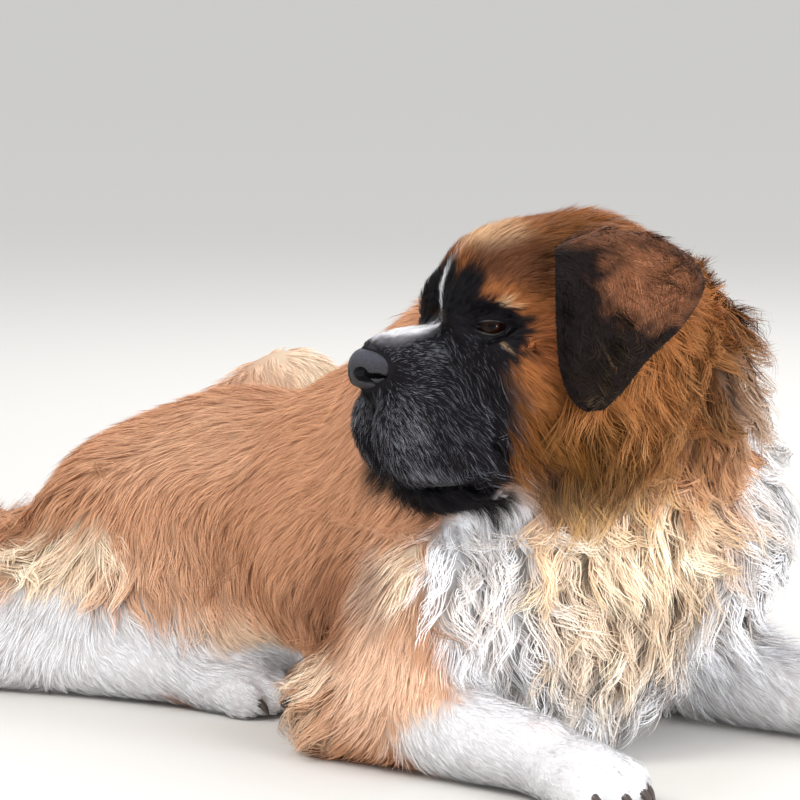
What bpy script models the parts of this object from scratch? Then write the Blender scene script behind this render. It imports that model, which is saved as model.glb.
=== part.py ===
"""A life-size saint bernard that lies on its chest with its head turned to its right.

The pose is laid out on the floor with +X to the right of the picture, +Y away from the
camera and +Z up. The body is one smooth field of egg shapes and tapered limbs. It is
meshed once and then parted with cuts that leave a thin gap between neighbours.
"""
import math

import bmesh
import bpy
import numpy as np
from mathutils import Matrix, Vector

# Driving sizes, in metres, and headings in degrees from +X
PART_GAP = 0.0003
BODY_STEP = 0.0085
HEAD_STEP = 0.0036
BODY_TRIANGLES = 2300
HEAD_TRIANGLES = 2450
THORAX_HEADING = -57.0
PELVIS_HEADING = -30.0
HEAD_HEADING = 198.0
NOSE_TIP = (-0.046, -0.110, 0.397)
EYE_RADIUS = 0.0165
EYE_PLACE = (-0.1220, 0.0500, 0.0360)
EYE_SEGMENTS = 12
EYE_RINGS = 8
EAR_THICKNESS = 0.009
EAR_COLUMNS = 7
CLAW_RADIUS = 0.0055
COLLAR_WIDTH = 0.026
COLLAR_THICKNESS = 0.004
COLLAR_SEGMENTS = 24
TAB_SIZE = (0.020, 0.003, 0.015)

# Widths of the smooth joins between forms
HEAD_BLEND = 0.020
LID_BLEND = 0.004
PAW_BLEND = 0.012
TOE_BLEND = 0.006

# Shares of a paw's length, half width and height: place and size of its pad and toes
PAD_PLACE = (0.36, 0.46)
PAD_SIZE = (0.50, 0.86, 0.50)
TOE_BACK = 0.10
TOE_SIZE = (0.25, 0.28, 0.36)

# A claw: how far it reaches, how high it stands and how thick it is at each ring
CLAW_ROOT = 0.02
CLAW_REACH = (0.0, 0.12, 0.19)
CLAW_HEIGHT = (0.34, 0.28, 0.15)
CLAW_SHARES = (1.0, 0.8, 0.22)
CLAW_FLATNESS = 0.72
CLAW_CORNERS = 5

# Half the thickness of an ear at its border, and what its middle adds, as shares
EAR_BORDER = 0.22
EAR_MIDDLE = 0.28

# How far the collar stands proud, and the gap under its tab
COLLAR_PROUD = 0.001
TAB_GAP = 0.0012

# Making the meshes and cutting them
POCKET_GAP = 0.0004
CUTTER_SIZE = 2.6
PINCH_ROUNDS = 20
PINCH_DEPTH = 0.1
SHORTEST_EDGE = 0.00002
COLLAR_REACH = 0.145
PROBE = 0.002
SETTLE_ROUNDS = 4
MEND_ROUNDS = 6
ROOT_TRIES = 900
ROOT_LOWEST = 0.012
LOCK_SEED = 11
TAB_PLACE = (0.330, 0.050, 0.385)
COLLAR_START = 0.05
COLLAR_PROBES = 120
HEAD_MARGIN = 4
HEAD_MIDDLE = (-0.165, 0.0, -0.005)
HEAD_REACH = (0.21, 0.21, 0.17)
BODY_LOW = (-0.58, -0.34, -0.04)
BODY_HIGH = (0.66, 0.98, 0.58)

# Elbows and the middle between them set the place of the whole thorax
ELBOW_RIGHT = (-0.058, 0.000, 0.052)
ELBOW_HALF_SPACING = 0.195


def turned(heading, forward, left, up=0.0, start=(0.0, 0.0, 0.0)):
    """The point reached from start by going forward, left and up at a heading."""
    angle = math.radians(heading)
    return (start[0] + forward * math.cos(angle) - left * math.sin(angle),
            start[1] + forward * math.sin(angle) + left * math.cos(angle),
            start[2] + up)


MID_ELBOW = turned(THORAX_HEADING, 0.0, ELBOW_HALF_SPACING, -ELBOW_RIGHT[2], ELBOW_RIGHT)
ELBOW_LEFT = turned(THORAX_HEADING, 0.0, 2 * ELBOW_HALF_SPACING, 0.0, ELBOW_RIGHT)


def thorax(forward, left, up):
    return turned(THORAX_HEADING, forward, left, up, MID_ELBOW)


def head_point(forward, left, up):
    return turned(HEAD_HEADING, forward, left, up, NOSE_TIP)


def head_way(forward, left, up):
    return turned(HEAD_HEADING, forward, left, up)


# Trunk: name, centre, radii (forward, left, up), heading, blend
TRUNK = (
    ("chest", thorax(-0.020, 0.005, 0.180), (0.178, 0.180, 0.186), THORAX_HEADING, 0.04),
    ("breast", thorax(0.105, 0.010, 0.150), (0.100, 0.130, 0.146), THORAX_HEADING, 0.05),
    ("ribs", thorax(-0.170, 0.0, 0.178), (0.190, 0.172, 0.183), -54.0, 0.05),
    ("withers", thorax(-0.075, 0.010, 0.315), (0.130, 0.105, 0.090), THORAX_HEADING, 0.05),
    ("shoulder_left", thorax(0.055, 0.182, 0.205), (0.108, 0.098, 0.126), THORAX_HEADING, 0.04),
    ("shoulder_right", thorax(0.035, -0.128, 0.140), (0.092, 0.066, 0.092), THORAX_HEADING, 0.03),
    ("loin", (-0.150, 0.395, 0.160), (0.185, 0.138, 0.150), -42.0, 0.05),
    ("pelvis", (-0.262, 0.470, 0.132), (0.140, 0.124, 0.128), PELVIS_HEADING, 0.05),
    ("rump", (-0.325, 0.500, 0.098), (0.082, 0.085, 0.084), PELVIS_HEADING, 0.04),
    ("haunch_right", (-0.252, 0.362, 0.116), (0.155, 0.090, 0.115), -38.0, 0.04),
    ("haunch_left", (-0.205, 0.588, 0.145), (0.105, 0.068, 0.100), -8.0, 0.04),
)

# Limbs and neck: name, points along the middle, radius at each point, blend
LIMBS = (
    ("neck", (thorax(0.000, 0.000, 0.300), (0.196, 0.020, 0.352), head_point(-0.240, 0.0, -0.005)),
     (0.150, 0.148, 0.112), 0.05),
    ("upper_arm_right", (thorax(0.100, -0.140, 0.160), ELBOW_RIGHT), (0.068, 0.050), 0.03),
    ("upper_arm_left", (thorax(0.110, 0.150, 0.205), ELBOW_LEFT), (0.078, 0.052), 0.03),
    ("forearm_right", (ELBOW_RIGHT, (0.040, -0.088, 0.048), (0.128, -0.168, 0.040)),
     (0.050, 0.046, 0.037), 0.02),
    ("forearm_left", (ELBOW_LEFT, (0.365, 0.125, 0.048), (0.462, 0.042, 0.040)),
     (0.052, 0.046, 0.037), 0.02),
    ("thigh_right", ((-0.290, 0.390, 0.135), (-0.160, 0.275, 0.085)), (0.100, 0.062), 0.04),
    ("shank_right", ((-0.160, 0.275, 0.080), (-0.300, 0.312, 0.085), (-0.430, 0.342, 0.104)),
     (0.062, 0.056, 0.044), 0.03),
    ("heel_right", ((-0.430, 0.342, 0.104), (-0.456, 0.345, 0.052)), (0.044, 0.040), 0.02),
    ("metatarsus_right", ((-0.456, 0.345, 0.046), (-0.310, 0.288, 0.040), (-0.205, 0.230, 0.036)),
     (0.042, 0.036, 0.032), 0.015),
    ("thigh_left", ((-0.255, 0.565, 0.160), (-0.122, 0.602, 0.254)), (0.090, 0.068), 0.03),
    ("shank_left", ((-0.118, 0.602, 0.252), (-0.220, 0.655, 0.150), (-0.312, 0.695, 0.070)),
     (0.064, 0.050, 0.038), 0.03),
    ("metatarsus_left", ((-0.322, 0.698, 0.046), (-0.200, 0.700, 0.040), (-0.130, 0.695, 0.036)),
     (0.042, 0.035, 0.032), 0.015),
    ("tail", ((-0.372, 0.530, 0.110), (-0.428, 0.580, 0.078), (-0.462, 0.640, 0.061),
              (-0.472, 0.705, 0.058), (-0.456, 0.768, 0.059), (-0.414, 0.820, 0.058),
              (-0.352, 0.858, 0.054), (-0.285, 0.876, 0.046), (-0.215, 0.880, 0.034)),
     (0.052, 0.054, 0.056, 0.060, 0.062, 0.060, 0.056, 0.045, 0.024), 0.02),
)

# Paws: name, place of the wrist end, heading, length, half width, height
PAWS = (
    ("front_right", (0.128, -0.168), -46.0, 0.122, 0.050, 0.064),
    ("front_left", (0.462, 0.042), -38.0, 0.122, 0.050, 0.064),
    ("hind_right", (-0.205, 0.230), -27.0, 0.104, 0.042, 0.058),
    ("hind_left", (-0.130, 0.695), -6.0, 0.104, 0.042, 0.058),
)
TOE_SPREAD = (-0.68, -0.24, 0.24, 0.68)
TOE_REACH = (0.72, 0.86, 0.86, 0.72)

# Head: name, centre and radii in head axes (forward, left, up), blend. A name that ends
# in _pair is made on both sides.
HEAD = (
    ("skull", (-0.228, 0.000, 0.042), (0.096, 0.096, 0.094), 0.030),
    ("forehead", (-0.158, 0.000, 0.059), (0.070, 0.080, 0.067), 0.025),
    ("brow_pair", (-0.122, 0.044, 0.060), (0.028, 0.024, 0.016), 0.020),
    ("brow_front_pair", (-0.097, 0.034, 0.044), (0.019, 0.018, 0.027), 0.012),
    ("muzzle", (-0.066, 0.000, -0.014), (0.058, 0.045, 0.041), 0.018),
    ("bridge", (-0.070, 0.000, 0.010), (0.058, 0.024, 0.017), 0.015),
    ("nose", (-0.0280, 0.000, -0.0015), (0.0250, 0.0205, 0.0130), 0.006),
    ("nose_front", (-0.0125, 0.000, -0.0085), (0.0135, 0.0190, 0.0190), 0.005),
    ("nose_wing_pair", (-0.0240, 0.0145, -0.0080), (0.0180, 0.0115, 0.0125), 0.004),
    ("flew_pair", (-0.061, 0.033, -0.064), (0.050, 0.027, 0.052), 0.012),
    ("flew_rear_pair", (-0.102, 0.050, -0.070), (0.045, 0.021, 0.048), 0.018),
    ("muzzle_root_pair", (-0.112, 0.034, -0.004), (0.034, 0.030, 0.044), 0.020),
    ("chin", (-0.096, 0.000, -0.119), (0.052, 0.035, 0.026), 0.005),
    ("jaw", (-0.155, 0.000, -0.085), (0.080, 0.062, 0.048), 0.020),
    ("cheek_pair", (-0.185, 0.068, -0.028), (0.070, 0.040, 0.070), 0.028),
    ("cheekbone_pair", (-0.150, 0.064, 0.014), (0.045, 0.028, 0.022), 0.020),
    ("throat", (-0.205, 0.000, -0.070), (0.085, 0.080, 0.062), 0.030),
)
# Hollows of the head: eye sockets, nostrils, the groove of the lip and the line of the mouth
HEAD_HOLLOWS = (
    ("orbit_pair", (-0.108, 0.068, 0.037), (0.024, 0.012, 0.013), 0.012),
    ("nostril_pair", (-0.0100, 0.0145, -0.0095), (0.0120, 0.0075, 0.0068), 0.002),
    ("nostril_slit_pair", (-0.0240, 0.0260, -0.0110), (0.0140, 0.0050, 0.0026), 0.002),
    ("philtrum", (0.000, 0.000, -0.026), (0.006, 0.0016, 0.022), 0.002),
    ("lip_notch", (-0.012, 0.000, -0.090), (0.016, 0.006, 0.030), 0.006),
    ("mouth_pair", (-0.078, 0.052, -0.1150), (0.066, 0.032, 0.0035), 0.003),
)

# Eyelids of the left eye: name, points and radii from the inner to the outer corner
LIDS = (
    ("upper_lid", ((-0.1010, 0.0445, 0.0350), (-0.1085, 0.0580, 0.0430), (-0.1200, 0.0650, 0.0450),
                   (-0.1340, 0.0640, 0.0365)), (0.0030, 0.0045, 0.0048, 0.0035)),
    ("lower_lid", ((-0.1010, 0.0445, 0.0350), (-0.1080, 0.0590, 0.0275), (-0.1200, 0.0650, 0.0265),
                   (-0.1340, 0.0640, 0.0345)), (0.0030, 0.0042, 0.0045, 0.0035)),
)

# Ear outline in head axes, from where it leaves the skull to its round tip
EAR_FRONT = ((-0.174, 0.058, 0.098), (-0.168, 0.084, 0.112), (-0.161, 0.108, 0.088), (-0.158, 0.119, 0.044),
             (-0.160, 0.123, 0.004), (-0.170, 0.124, -0.022), (-0.186, 0.123, -0.036))
EAR_REAR = ((-0.288, 0.050, 0.082), (-0.300, 0.078, 0.094), (-0.309, 0.106, 0.074), (-0.284, 0.120, 0.040),
            (-0.246, 0.124, 0.008), (-0.222, 0.124, -0.018), (-0.204, 0.123, -0.035))
EAR_BULGE = (0.000, 0.006, 0.010, 0.008, 0.005, 0.003, 0.001)
EAR_LIFT = (0.016, 0.018, 0.012, 0.004, 0.000, 0.000, 0.000)

# The collar: its middle and the axis that it goes round
COLLAR_CENTRE = Vector((0.200, 0.056, 0.360))
COLLAR_AXIS = Vector((-0.21, -0.83, 0.52)).normalized()

MATERIALS = {
    "orange_fur": ((0.42, 0.19, 0.08, 1.0), 0.85),
    "mask_fur": ((0.05, 0.04, 0.04, 1.0), 0.80),
    "cream_fur": ((0.72, 0.58, 0.40, 1.0), 0.88),
    "white_fur": ((0.85, 0.85, 0.84, 1.0), 0.88),
    "nose_skin": ((0.03, 0.03, 0.04, 1.0), 0.35),
    "eye": ((0.05, 0.02, 0.01, 1.0), 0.10),
    "claw": ((0.10, 0.08, 0.07, 1.0), 0.40),
    "collar": ((0.75, 0.75, 0.74, 1.0), 0.60),
}

# The lie of the coat: a place and the way that the hair points there
LIE = (
    ((0.020, 0.070, 0.500), head_way(-1.0, 0.0, -0.1)),
    ((0.200, 0.130, 0.500), (0.35, 0.75, -0.35)),
    ((0.170, -0.110, 0.360), (0.10, 0.0, -1.0)),
    ((0.060, -0.060, 0.330), (-0.30, 0.0, -1.0)),
    ((0.300, -0.050, 0.330), (0.45, 0.0, -0.90)),
    ((0.350, 0.080, 0.360), (0.80, 0.35, -0.50)),
    ((0.060, 0.160, 0.450), (-0.70, 0.60, -0.20)),
    ((0.140, -0.150, 0.200), (-0.10, -0.15, -1.0)),
    ((0.270, -0.130, 0.200), (0.25, -0.15, -1.0)),
    ((0.180, -0.170, 0.100), (0.10, -0.20, -1.0)),
    ((0.380, 0.040, 0.250), (0.70, 0.15, -0.70)),
    ((0.420, 0.180, 0.200), (0.60, 0.55, -0.60)),
    ((0.330, 0.280, 0.250), (0.20, 0.80, -0.55)),
    ((0.010, -0.080, 0.200), (-0.45, 0.10, -0.90)),
    ((-0.060, 0.010, 0.100), (-0.75, 0.30, -0.55)),
    ((-0.040, 0.080, 0.250), (-0.70, 0.30, -0.65)),
    ((-0.120, 0.180, 0.200), (-0.75, 0.30, -0.60)),
    ((-0.060, 0.300, 0.350), (-0.85, 0.50, -0.10)),
    ((-0.250, 0.430, 0.260), (-0.85, 0.40, -0.25)),
    ((0.100, 0.450, 0.200), (-0.45, 0.70, -0.60)),
    ((-0.060, 0.180, 0.060), (-0.85, 0.20, -0.50)),
    ((-0.220, 0.290, 0.150), (0.25, -0.35, -0.90)),
    ((-0.330, 0.330, 0.150), (-0.55, -0.10, -0.80)),
    ((-0.390, 0.480, 0.110), (-0.75, 0.20, -0.65)),
    ((-0.130, 0.600, 0.260), (0.35, 0.10, -0.90)),
    ((-0.220, 0.680, 0.150), (-0.55, 0.35, -0.75)),
    ((-0.440, 0.600, 0.070), (-0.50, 0.85, -0.15)),
    ((-0.475, 0.720, 0.060), (0.10, 0.98, -0.15)),
    ((-0.400, 0.830, 0.060), (0.80, 0.50, -0.15)),
    ((-0.280, 0.875, 0.045), (1.00, 0.10, -0.10)),
    ((-0.420, 0.340, 0.080), (-0.60, -0.30, -0.75)),
    ((-0.250, 0.250, 0.040), (0.85, -0.45, -0.20)),
    ((0.040, -0.090, 0.050), (0.55, -0.60, -0.50)),
    ((0.160, -0.200, 0.040), (0.65, -0.70, -0.25)),
    ((0.370, 0.120, 0.050), (0.60, -0.50, -0.50)),
    ((0.500, 0.010, 0.040), (0.75, -0.60, -0.25)),
)
LIE_REACH = 0.075

# Sizes of a lock: length, width, thickness and how high its tip stands over the core
LOCK_SIZES = {
    "long": (0.112, 0.046, 0.016, 0.026),
    "middle": (0.080, 0.036, 0.013, 0.020),
}
LOCK_WIDTHS = (0.66, 1.00, 0.64)
LOCK_ROOT = -0.010
LOCK_LOWEST = 0.0075
LOCK_VARIATION = 0.20
LOCK_SWING = 0.45
LOCK_LIFT = 0.8
LOCK_TURN = 3.0
COAT_EDGE = 2.5
ROOT_SHARE = 0.75

# Where long coat grows: name, centre, radii, depth taken from the core, size, spacing
COAT = (
    ("ruff_front", (0.165, -0.075, 0.335), (0.190, 0.110, 0.120), 0.018, "long", 0.053),
    ("ruff_left", (0.325, 0.080, 0.350), (0.110, 0.140, 0.130), 0.018, "long", 0.062),
    ("ruff_right", (0.030, 0.060, 0.370), (0.100, 0.120, 0.120), 0.014, "middle", 0.060),
    ("nape", (0.160, 0.150, 0.470), (0.150, 0.110, 0.070), 0.012, "middle", 0.066),
    ("bib", (0.190, -0.130, 0.180), (0.170, 0.110, 0.140), 0.018, "long", 0.055),
    ("bib_left", (0.360, 0.010, 0.190), (0.090, 0.110, 0.110), 0.014, "middle", 0.062),
    ("elbow_right", (-0.070, 0.010, 0.080), (0.080, 0.090, 0.070), 0.012, "middle", 0.050),
    ("elbow_left", (0.330, 0.280, 0.090), (0.090, 0.090, 0.080), 0.010, "middle", 0.062),
    ("belly_right", (-0.075, 0.115, 0.055), (0.085, 0.075, 0.050), 0.010, "middle", 0.050),
    ("belly_left", (0.080, 0.480, 0.090), (0.160, 0.120, 0.080), 0.010, "middle", 0.074),
    ("breeches_right", (-0.300, 0.330, 0.115), (0.140, 0.110, 0.075), 0.012, "middle", 0.058),
    ("breeches_rear", (-0.400, 0.440, 0.090), (0.090, 0.120, 0.090), 0.014, "middle", 0.064),
    ("breeches_left", (-0.220, 0.650, 0.160), (0.120, 0.080, 0.110), 0.010, "middle", 0.066),
    ("tail_side", (-0.455, 0.690, 0.060), (0.100, 0.160, 0.090), 0.016, "middle", 0.062),
    ("tail_end", (-0.320, 0.860, 0.050), (0.150, 0.090, 0.080), 0.016, "middle", 0.062),
)


def clear_scene():
    for item in list(bpy.data.objects):
        bpy.data.objects.remove(item, do_unlink=True)


def sides(name, centre):
    """The name and centre once, or on both sides for a pair."""
    if not name.endswith("_pair"):
        return [(name, centre)]
    mirrored = (centre[0], -centre[1], centre[2])
    return [(name + "_left", centre), (name + "_right", mirrored)]


def egg_distance(points, centre, radii, heading=0.0):
    """Rough signed distance to an egg shape turned about the vertical."""
    angle = math.radians(heading)
    x = points[..., 0] - centre[0]
    y = points[..., 1] - centre[1]
    z = points[..., 2] - centre[2]
    forward = x * math.cos(angle) + y * math.sin(angle)
    left = y * math.cos(angle) - x * math.sin(angle)
    scaled = np.stack((forward / radii[0], left / radii[1], z / radii[2]), -1)
    slope = np.stack((scaled[..., 0] / radii[0], scaled[..., 1] / radii[1], scaled[..., 2] / radii[2]), -1)
    size = np.sqrt((scaled ** 2).sum(-1))
    steepness = np.sqrt((slope ** 2).sum(-1)) + 1e-9
    return size * (size - 1.0) / steepness


def limb_distance(points, path, radii):
    """Distance to a chain of tapered lengths."""
    best = None
    for start, end, first, last in zip(path, path[1:], radii, radii[1:]):
        start = np.array(start)
        along = np.array(end) - start
        share = ((points - start) @ along) / (along @ along)
        share = np.clip(share, 0.0, 1.0)
        nearest = start + share[..., None] * along
        distance = np.sqrt(((points - nearest) ** 2).sum(-1)) - (first + (last - first) * share)
        best = distance if best is None else np.minimum(best, distance)
    return best


def blend(first, second, width):
    """Smooth union of two fields."""
    overlap = np.clip(0.5 + 0.5 * (second - first) / width, 0.0, 1.0)
    return second + (first - second) * overlap - width * overlap * (1.0 - overlap)


def carve(field, hollow, width):
    """Smooth cut of a hollow from a field."""
    return -blend(-field, hollow, width)


def paw_distance(points, place, heading, length, half_width, height):
    """A broad paw of a pad and four toes."""
    size = np.array((length, half_width, height))
    start = (place[0], place[1], 0.0)
    centre = turned(heading, PAD_PLACE[0] * length, 0.0, PAD_PLACE[1] * height, start)
    result = egg_distance(points, centre, size * PAD_SIZE, heading)
    for spread, reach in zip(TOE_SPREAD, TOE_REACH):
        toe = turned(heading, (reach - TOE_BACK) * length, spread * half_width, TOE_SIZE[2] * height, start)
        result = blend(result, egg_distance(points, toe, size * TOE_SIZE, heading), TOE_BLEND)
    return result


def body_field(points):
    """Signed distance to the trunk, neck, limbs, paws and tail."""
    result = None
    for _, centre, radii, heading, width in TRUNK:
        distance = egg_distance(points, centre, radii, heading)
        result = distance if result is None else blend(result, distance, width)
    for _, path, radii, width in LIMBS:
        result = blend(result, limb_distance(points, path, radii), width)
    for _, place, heading, length, half_width, height in PAWS:
        paw = paw_distance(points, place, heading, length, half_width, height)
        result = blend(result, paw, PAW_BLEND)
    return result


def lid_field(points, field):
    """Raise the rims of the eyelids from the head."""
    for side in (1, -1):
        for _, path, radii in LIDS:
            places = [head_point(forward, side * left, up) for forward, left, up in path]
            field = blend(field, limb_distance(points, places, radii), LID_BLEND)
    return field


def head_field(points):
    """Signed distance to the head with its sockets, lids and mouth line."""
    result = None
    for name, centre, radii, width in HEAD:
        for _, place in sides(name, centre):
            distance = egg_distance(points, head_point(*place), radii, HEAD_HEADING)
            result = distance if result is None else blend(result, distance, width)
    for name, centre, radii, width in HEAD_HOLLOWS:
        for _, place in sides(name, centre):
            hollow = egg_distance(points, head_point(*place), radii, HEAD_HEADING)
            result = carve(result, hollow, width)
    return lid_field(points, result)


def coat_depth(points):
    """How much of the body's outline is left to the locks at each point."""
    depth = np.zeros(points.shape[:-1])
    for _, centre, radii, deepest, _, _ in COAT:
        reach = np.sqrt((((points - np.array(centre)) / np.array(radii)) ** 2).sum(-1))
        share = np.clip(COAT_EDGE * (1.0 - reach), 0.0, 1.0)
        depth = np.maximum(depth, deepest * share * share * (3.0 - 2.0 * share))
    return depth


def core_field(points):
    """The body without the depth of its long coat."""
    return body_field(points) + coat_depth(points)


def dog_field(points):
    return blend(core_field(points), head_field(points), HEAD_BLEND)


def cell_points(value, low, step):
    """One surface point for each grid cell that the surface crosses."""
    inside = value < 0
    shape = tuple(size - 1 for size in value.shape)
    corners = [(i, j, k) for i in (0, 1) for j in (0, 1) for k in (0, 1)]
    count = np.zeros(shape, int)
    for i, j, k in corners:
        count += inside[i:i + shape[0], j:j + shape[1], k:k + shape[2]]
    cells = np.argwhere((count > 0) & (count < 8))
    total = np.zeros((len(cells), 3))
    crossings = np.zeros(len(cells))
    for first in corners:
        for axis in range(3):
            if first[axis]:
                continue
            second = list(first)
            second[axis] = 1
            here = cells + np.array(first)
            there = cells + np.array(second)
            a = value[here[:, 0], here[:, 1], here[:, 2]]
            b = value[there[:, 0], there[:, 1], there[:, 2]]
            crossed = (a < 0) != (b < 0)
            share = np.where(crossed, a / np.where(crossed, a - b, 1.0), 0.0)
            point = here.astype(float)
            point[:, axis] += share
            total += point * crossed[:, None]
            crossings += crossed
    return cells, np.array(low) + step * total / crossings[:, None]


def fill_pinches(value, step):
    """Fill grid squares where only two opposite corners are inside, so no edge is shared by four faces."""
    for _ in range(PINCH_ROUNDS):
        changed = False
        for axis in range(3):
            layers = np.moveaxis(value, axis, 2)
            corners = (layers[:-1, :-1], layers[1:, :-1], layers[1:, 1:], layers[:-1, 1:])
            inside = [corner < 0 for corner in corners]
            pinched = (inside[0] == inside[2]) & (inside[1] == inside[3]) & (inside[0] != inside[1])
            if pinched.any():
                changed = True
                for corner, within in zip(corners, inside):
                    corner[pinched & ~within] = -PINCH_DEPTH * step
        if not changed:
            return


def surface_mesh(field, low, high, step, name):
    """Mesh the zero level of a field with one point in each crossed cell."""
    axes = [np.arange(low[i], high[i] + step, step) for i in range(3)]
    value = np.stack([field(np.stack(np.meshgrid([x], axes[1], axes[2], indexing="ij"), -1))[0]
                      for x in axes[0]])
    for axis in range(3):
        np.moveaxis(value, axis, 0)[[0, -1]] = step
    fill_pinches(value, step)
    cells, points = cell_points(value, low, step)
    number = -np.ones(tuple(size - 1 for size in value.shape), int)
    number[cells[:, 0], cells[:, 1], cells[:, 2]] = np.arange(len(cells))
    inside = value < 0
    faces = []
    for axis in range(3):
        lower = [slice(1, -1)] * 3
        upper = [slice(1, -1)] * 3
        lower[axis] = slice(0, -1)
        upper[axis] = slice(1, None)
        change = inside[tuple(lower)].astype(int) - inside[tuple(upper)].astype(int)
        places = np.argwhere(change != 0)
        sign = change[tuple(places.T)]
        places = places + np.array([0 if i == axis else 1 for i in range(3)])
        second, third = (axis + 1) % 3, (axis + 2) % 3
        ring = []
        for back_second, back_third in ((1, 1), (0, 1), (0, 0), (1, 0)):
            cell = places.copy()
            cell[:, second] -= back_second
            cell[:, third] -= back_third
            ring.append(number[tuple(cell.T)])
        quads = np.stack(ring, 1)
        faces.append(np.where(sign[:, None] > 0, quads, quads[:, ::-1]))
    mesh = bpy.data.meshes.new(name)
    mesh.from_pydata(points.tolist(), [], np.concatenate(faces).tolist())
    return add_object(name, mesh)


def add_object(name, mesh):
    item = bpy.data.objects.new(name, mesh)
    bpy.context.scene.collection.objects.link(item)
    return item


def apply_modifiers(item):
    """Replace the mesh of an object by what its modifiers make of it."""
    graph = bpy.context.evaluated_depsgraph_get()
    result = bpy.data.meshes.new_from_object(item.evaluated_get(graph))
    item.modifiers.clear()
    old = item.data
    item.data = result
    bpy.data.meshes.remove(old)


def decimate(item, triangles):
    """Thin a mesh to about this many triangles."""
    count = sum(len(face.vertices) - 2 for face in item.data.polygons)
    if count <= triangles:
        return
    modifier = item.modifiers.new("thin", "DECIMATE")
    modifier.ratio = triangles / count
    modifier.use_collapse_triangulate = True
    apply_modifiers(item)


def face_groups(mesh):
    """The faces of a mesh in groups that hang together, the largest group first."""
    left = set(mesh.faces)
    groups = []
    while left:
        stack = [left.pop()]
        group = []
        while stack:
            face = stack.pop()
            group.append(face)
            for edge in face.edges:
                for other in edge.link_faces:
                    if other in left:
                        left.remove(other)
                        stack.append(other)
        groups.append(group)
    groups.sort(key=len, reverse=True)
    return groups


def drop_scraps(mesh):
    small = [face for group in face_groups(mesh)[1:] for face in group]
    bmesh.ops.delete(mesh, geom=small, context="FACES")


def mend(mesh):
    """Take out the points of edges that two faces don't share, and close the holes."""
    for _ in range(MEND_ROUNDS):
        faulty = [edge for edge in mesh.edges if len(edge.link_faces) != 2]
        if not faulty:
            return
        points = list({point for edge in faulty for point in edge.verts})
        bmesh.ops.delete(mesh, geom=points, context="VERTS")
        drop_scraps(mesh)
        loose = [point for point in mesh.verts if not point.link_faces]
        bmesh.ops.delete(mesh, geom=loose, context="VERTS")
        border = [edge for edge in mesh.edges if len(edge.link_faces) == 1]
        bmesh.ops.holes_fill(mesh, edges=border, sides=0)
        bmesh.ops.triangulate(mesh, faces=mesh.faces[:])


def keep_largest(item):
    """Keep the largest closed surface of an object."""
    mesh = bmesh.new()
    mesh.from_mesh(item.data)
    drop_scraps(mesh)
    bmesh.ops.dissolve_degenerate(mesh, dist=SHORTEST_EDGE, edges=mesh.edges[:])
    bmesh.ops.triangulate(mesh, faces=mesh.faces[:])
    mend(mesh)
    mesh.to_mesh(item.data)
    mesh.free()


def boolean(item, cutter, operation):
    """Cut or keep by another closed mesh, with its effect applied."""
    modifier = item.modifiers.new("cut", "BOOLEAN")
    modifier.operation = operation
    modifier.solver = "EXACT"
    modifier.object = cutter
    bpy.context.view_layer.update()
    apply_modifiers(item)


def cut_floor(item):
    """Slice off what lies below the floor and close the flat that is left."""
    mesh = bmesh.new()
    mesh.from_mesh(item.data)
    geometry = mesh.verts[:] + mesh.edges[:] + mesh.faces[:]
    cut = bmesh.ops.bisect_plane(mesh, geom=geometry, plane_co=(0, 0, 0), plane_no=(0, 0, -1),
                                 clear_outer=True)
    edges = [part for part in cut["geom_cut"] if isinstance(part, bmesh.types.BMEdge)]
    bmesh.ops.holes_fill(mesh, edges=edges, sides=0)
    bmesh.ops.triangulate(mesh, faces=mesh.faces[:])
    mesh.to_mesh(item.data)
    mesh.free()


def egg_cutter(name, centre, radii, heading, tilt, grow):
    """An egg-shaped cutter turned about the vertical and tilted front end down."""
    shape = bmesh.new()
    bmesh.ops.create_icosphere(shape, subdivisions=2, radius=1.0)
    size = [radius + grow for radius in radii]
    turn = Matrix.Rotation(math.radians(heading), 4, "Z") @ Matrix.Rotation(math.radians(tilt), 4, "Y")
    place = Matrix.Translation(Vector(centre)) @ turn @ Matrix.Diagonal((*size, 1.0))
    bmesh.ops.transform(shape, matrix=place, verts=shape.verts)
    return cutter_object(name, shape)


def wedge_cutter(name, planes, grow):
    """The space on the inner side of some planes, each a point and an inward direction."""
    shape = bmesh.new()
    bmesh.ops.create_cube(shape, size=CUTTER_SIZE)
    for point, inward in planes:
        inward = Vector(inward).normalized()
        geometry = shape.verts[:] + shape.edges[:] + shape.faces[:]
        cut = bmesh.ops.bisect_plane(shape, geom=geometry, plane_co=Vector(point) - inward * grow,
                                     plane_no=-inward, clear_outer=True)
        edges = [part for part in cut["geom_cut"] if isinstance(part, bmesh.types.BMEdge)]
        bmesh.ops.holes_fill(shape, edges=edges, sides=0)
    bmesh.ops.recalc_face_normals(shape, faces=shape.faces)
    return cutter_object(name, shape)


def corridor(point, heading, half_width):
    """Planes round the space beyond a point, along a heading and near its line."""
    forward = turned(heading, 1.0, 0.0)
    left = turned(heading, 0.0, 1.0)
    right_side = turned(heading, 0.0, -half_width, 0.0, point)
    left_side = turned(heading, 0.0, half_width, 0.0, point)
    backward_left = tuple(-value for value in left)
    return ((point, forward), (right_side, left), (left_side, backward_left))


def cutter_object(name, shape):
    mesh = bpy.data.meshes.new(name)
    shape.to_mesh(mesh)
    shape.free()
    item = add_object(name, mesh)
    item.hide_render = True
    item.display_type = "WIRE"
    return item


def make_cutter(kind, values, grow):
    if kind == "egg":
        return egg_cutter("cutter", *values, grow)
    return wedge_cutter("cutter", values, grow)


def copy_of(item, name):
    return add_object(name, item.data.copy())


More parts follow.
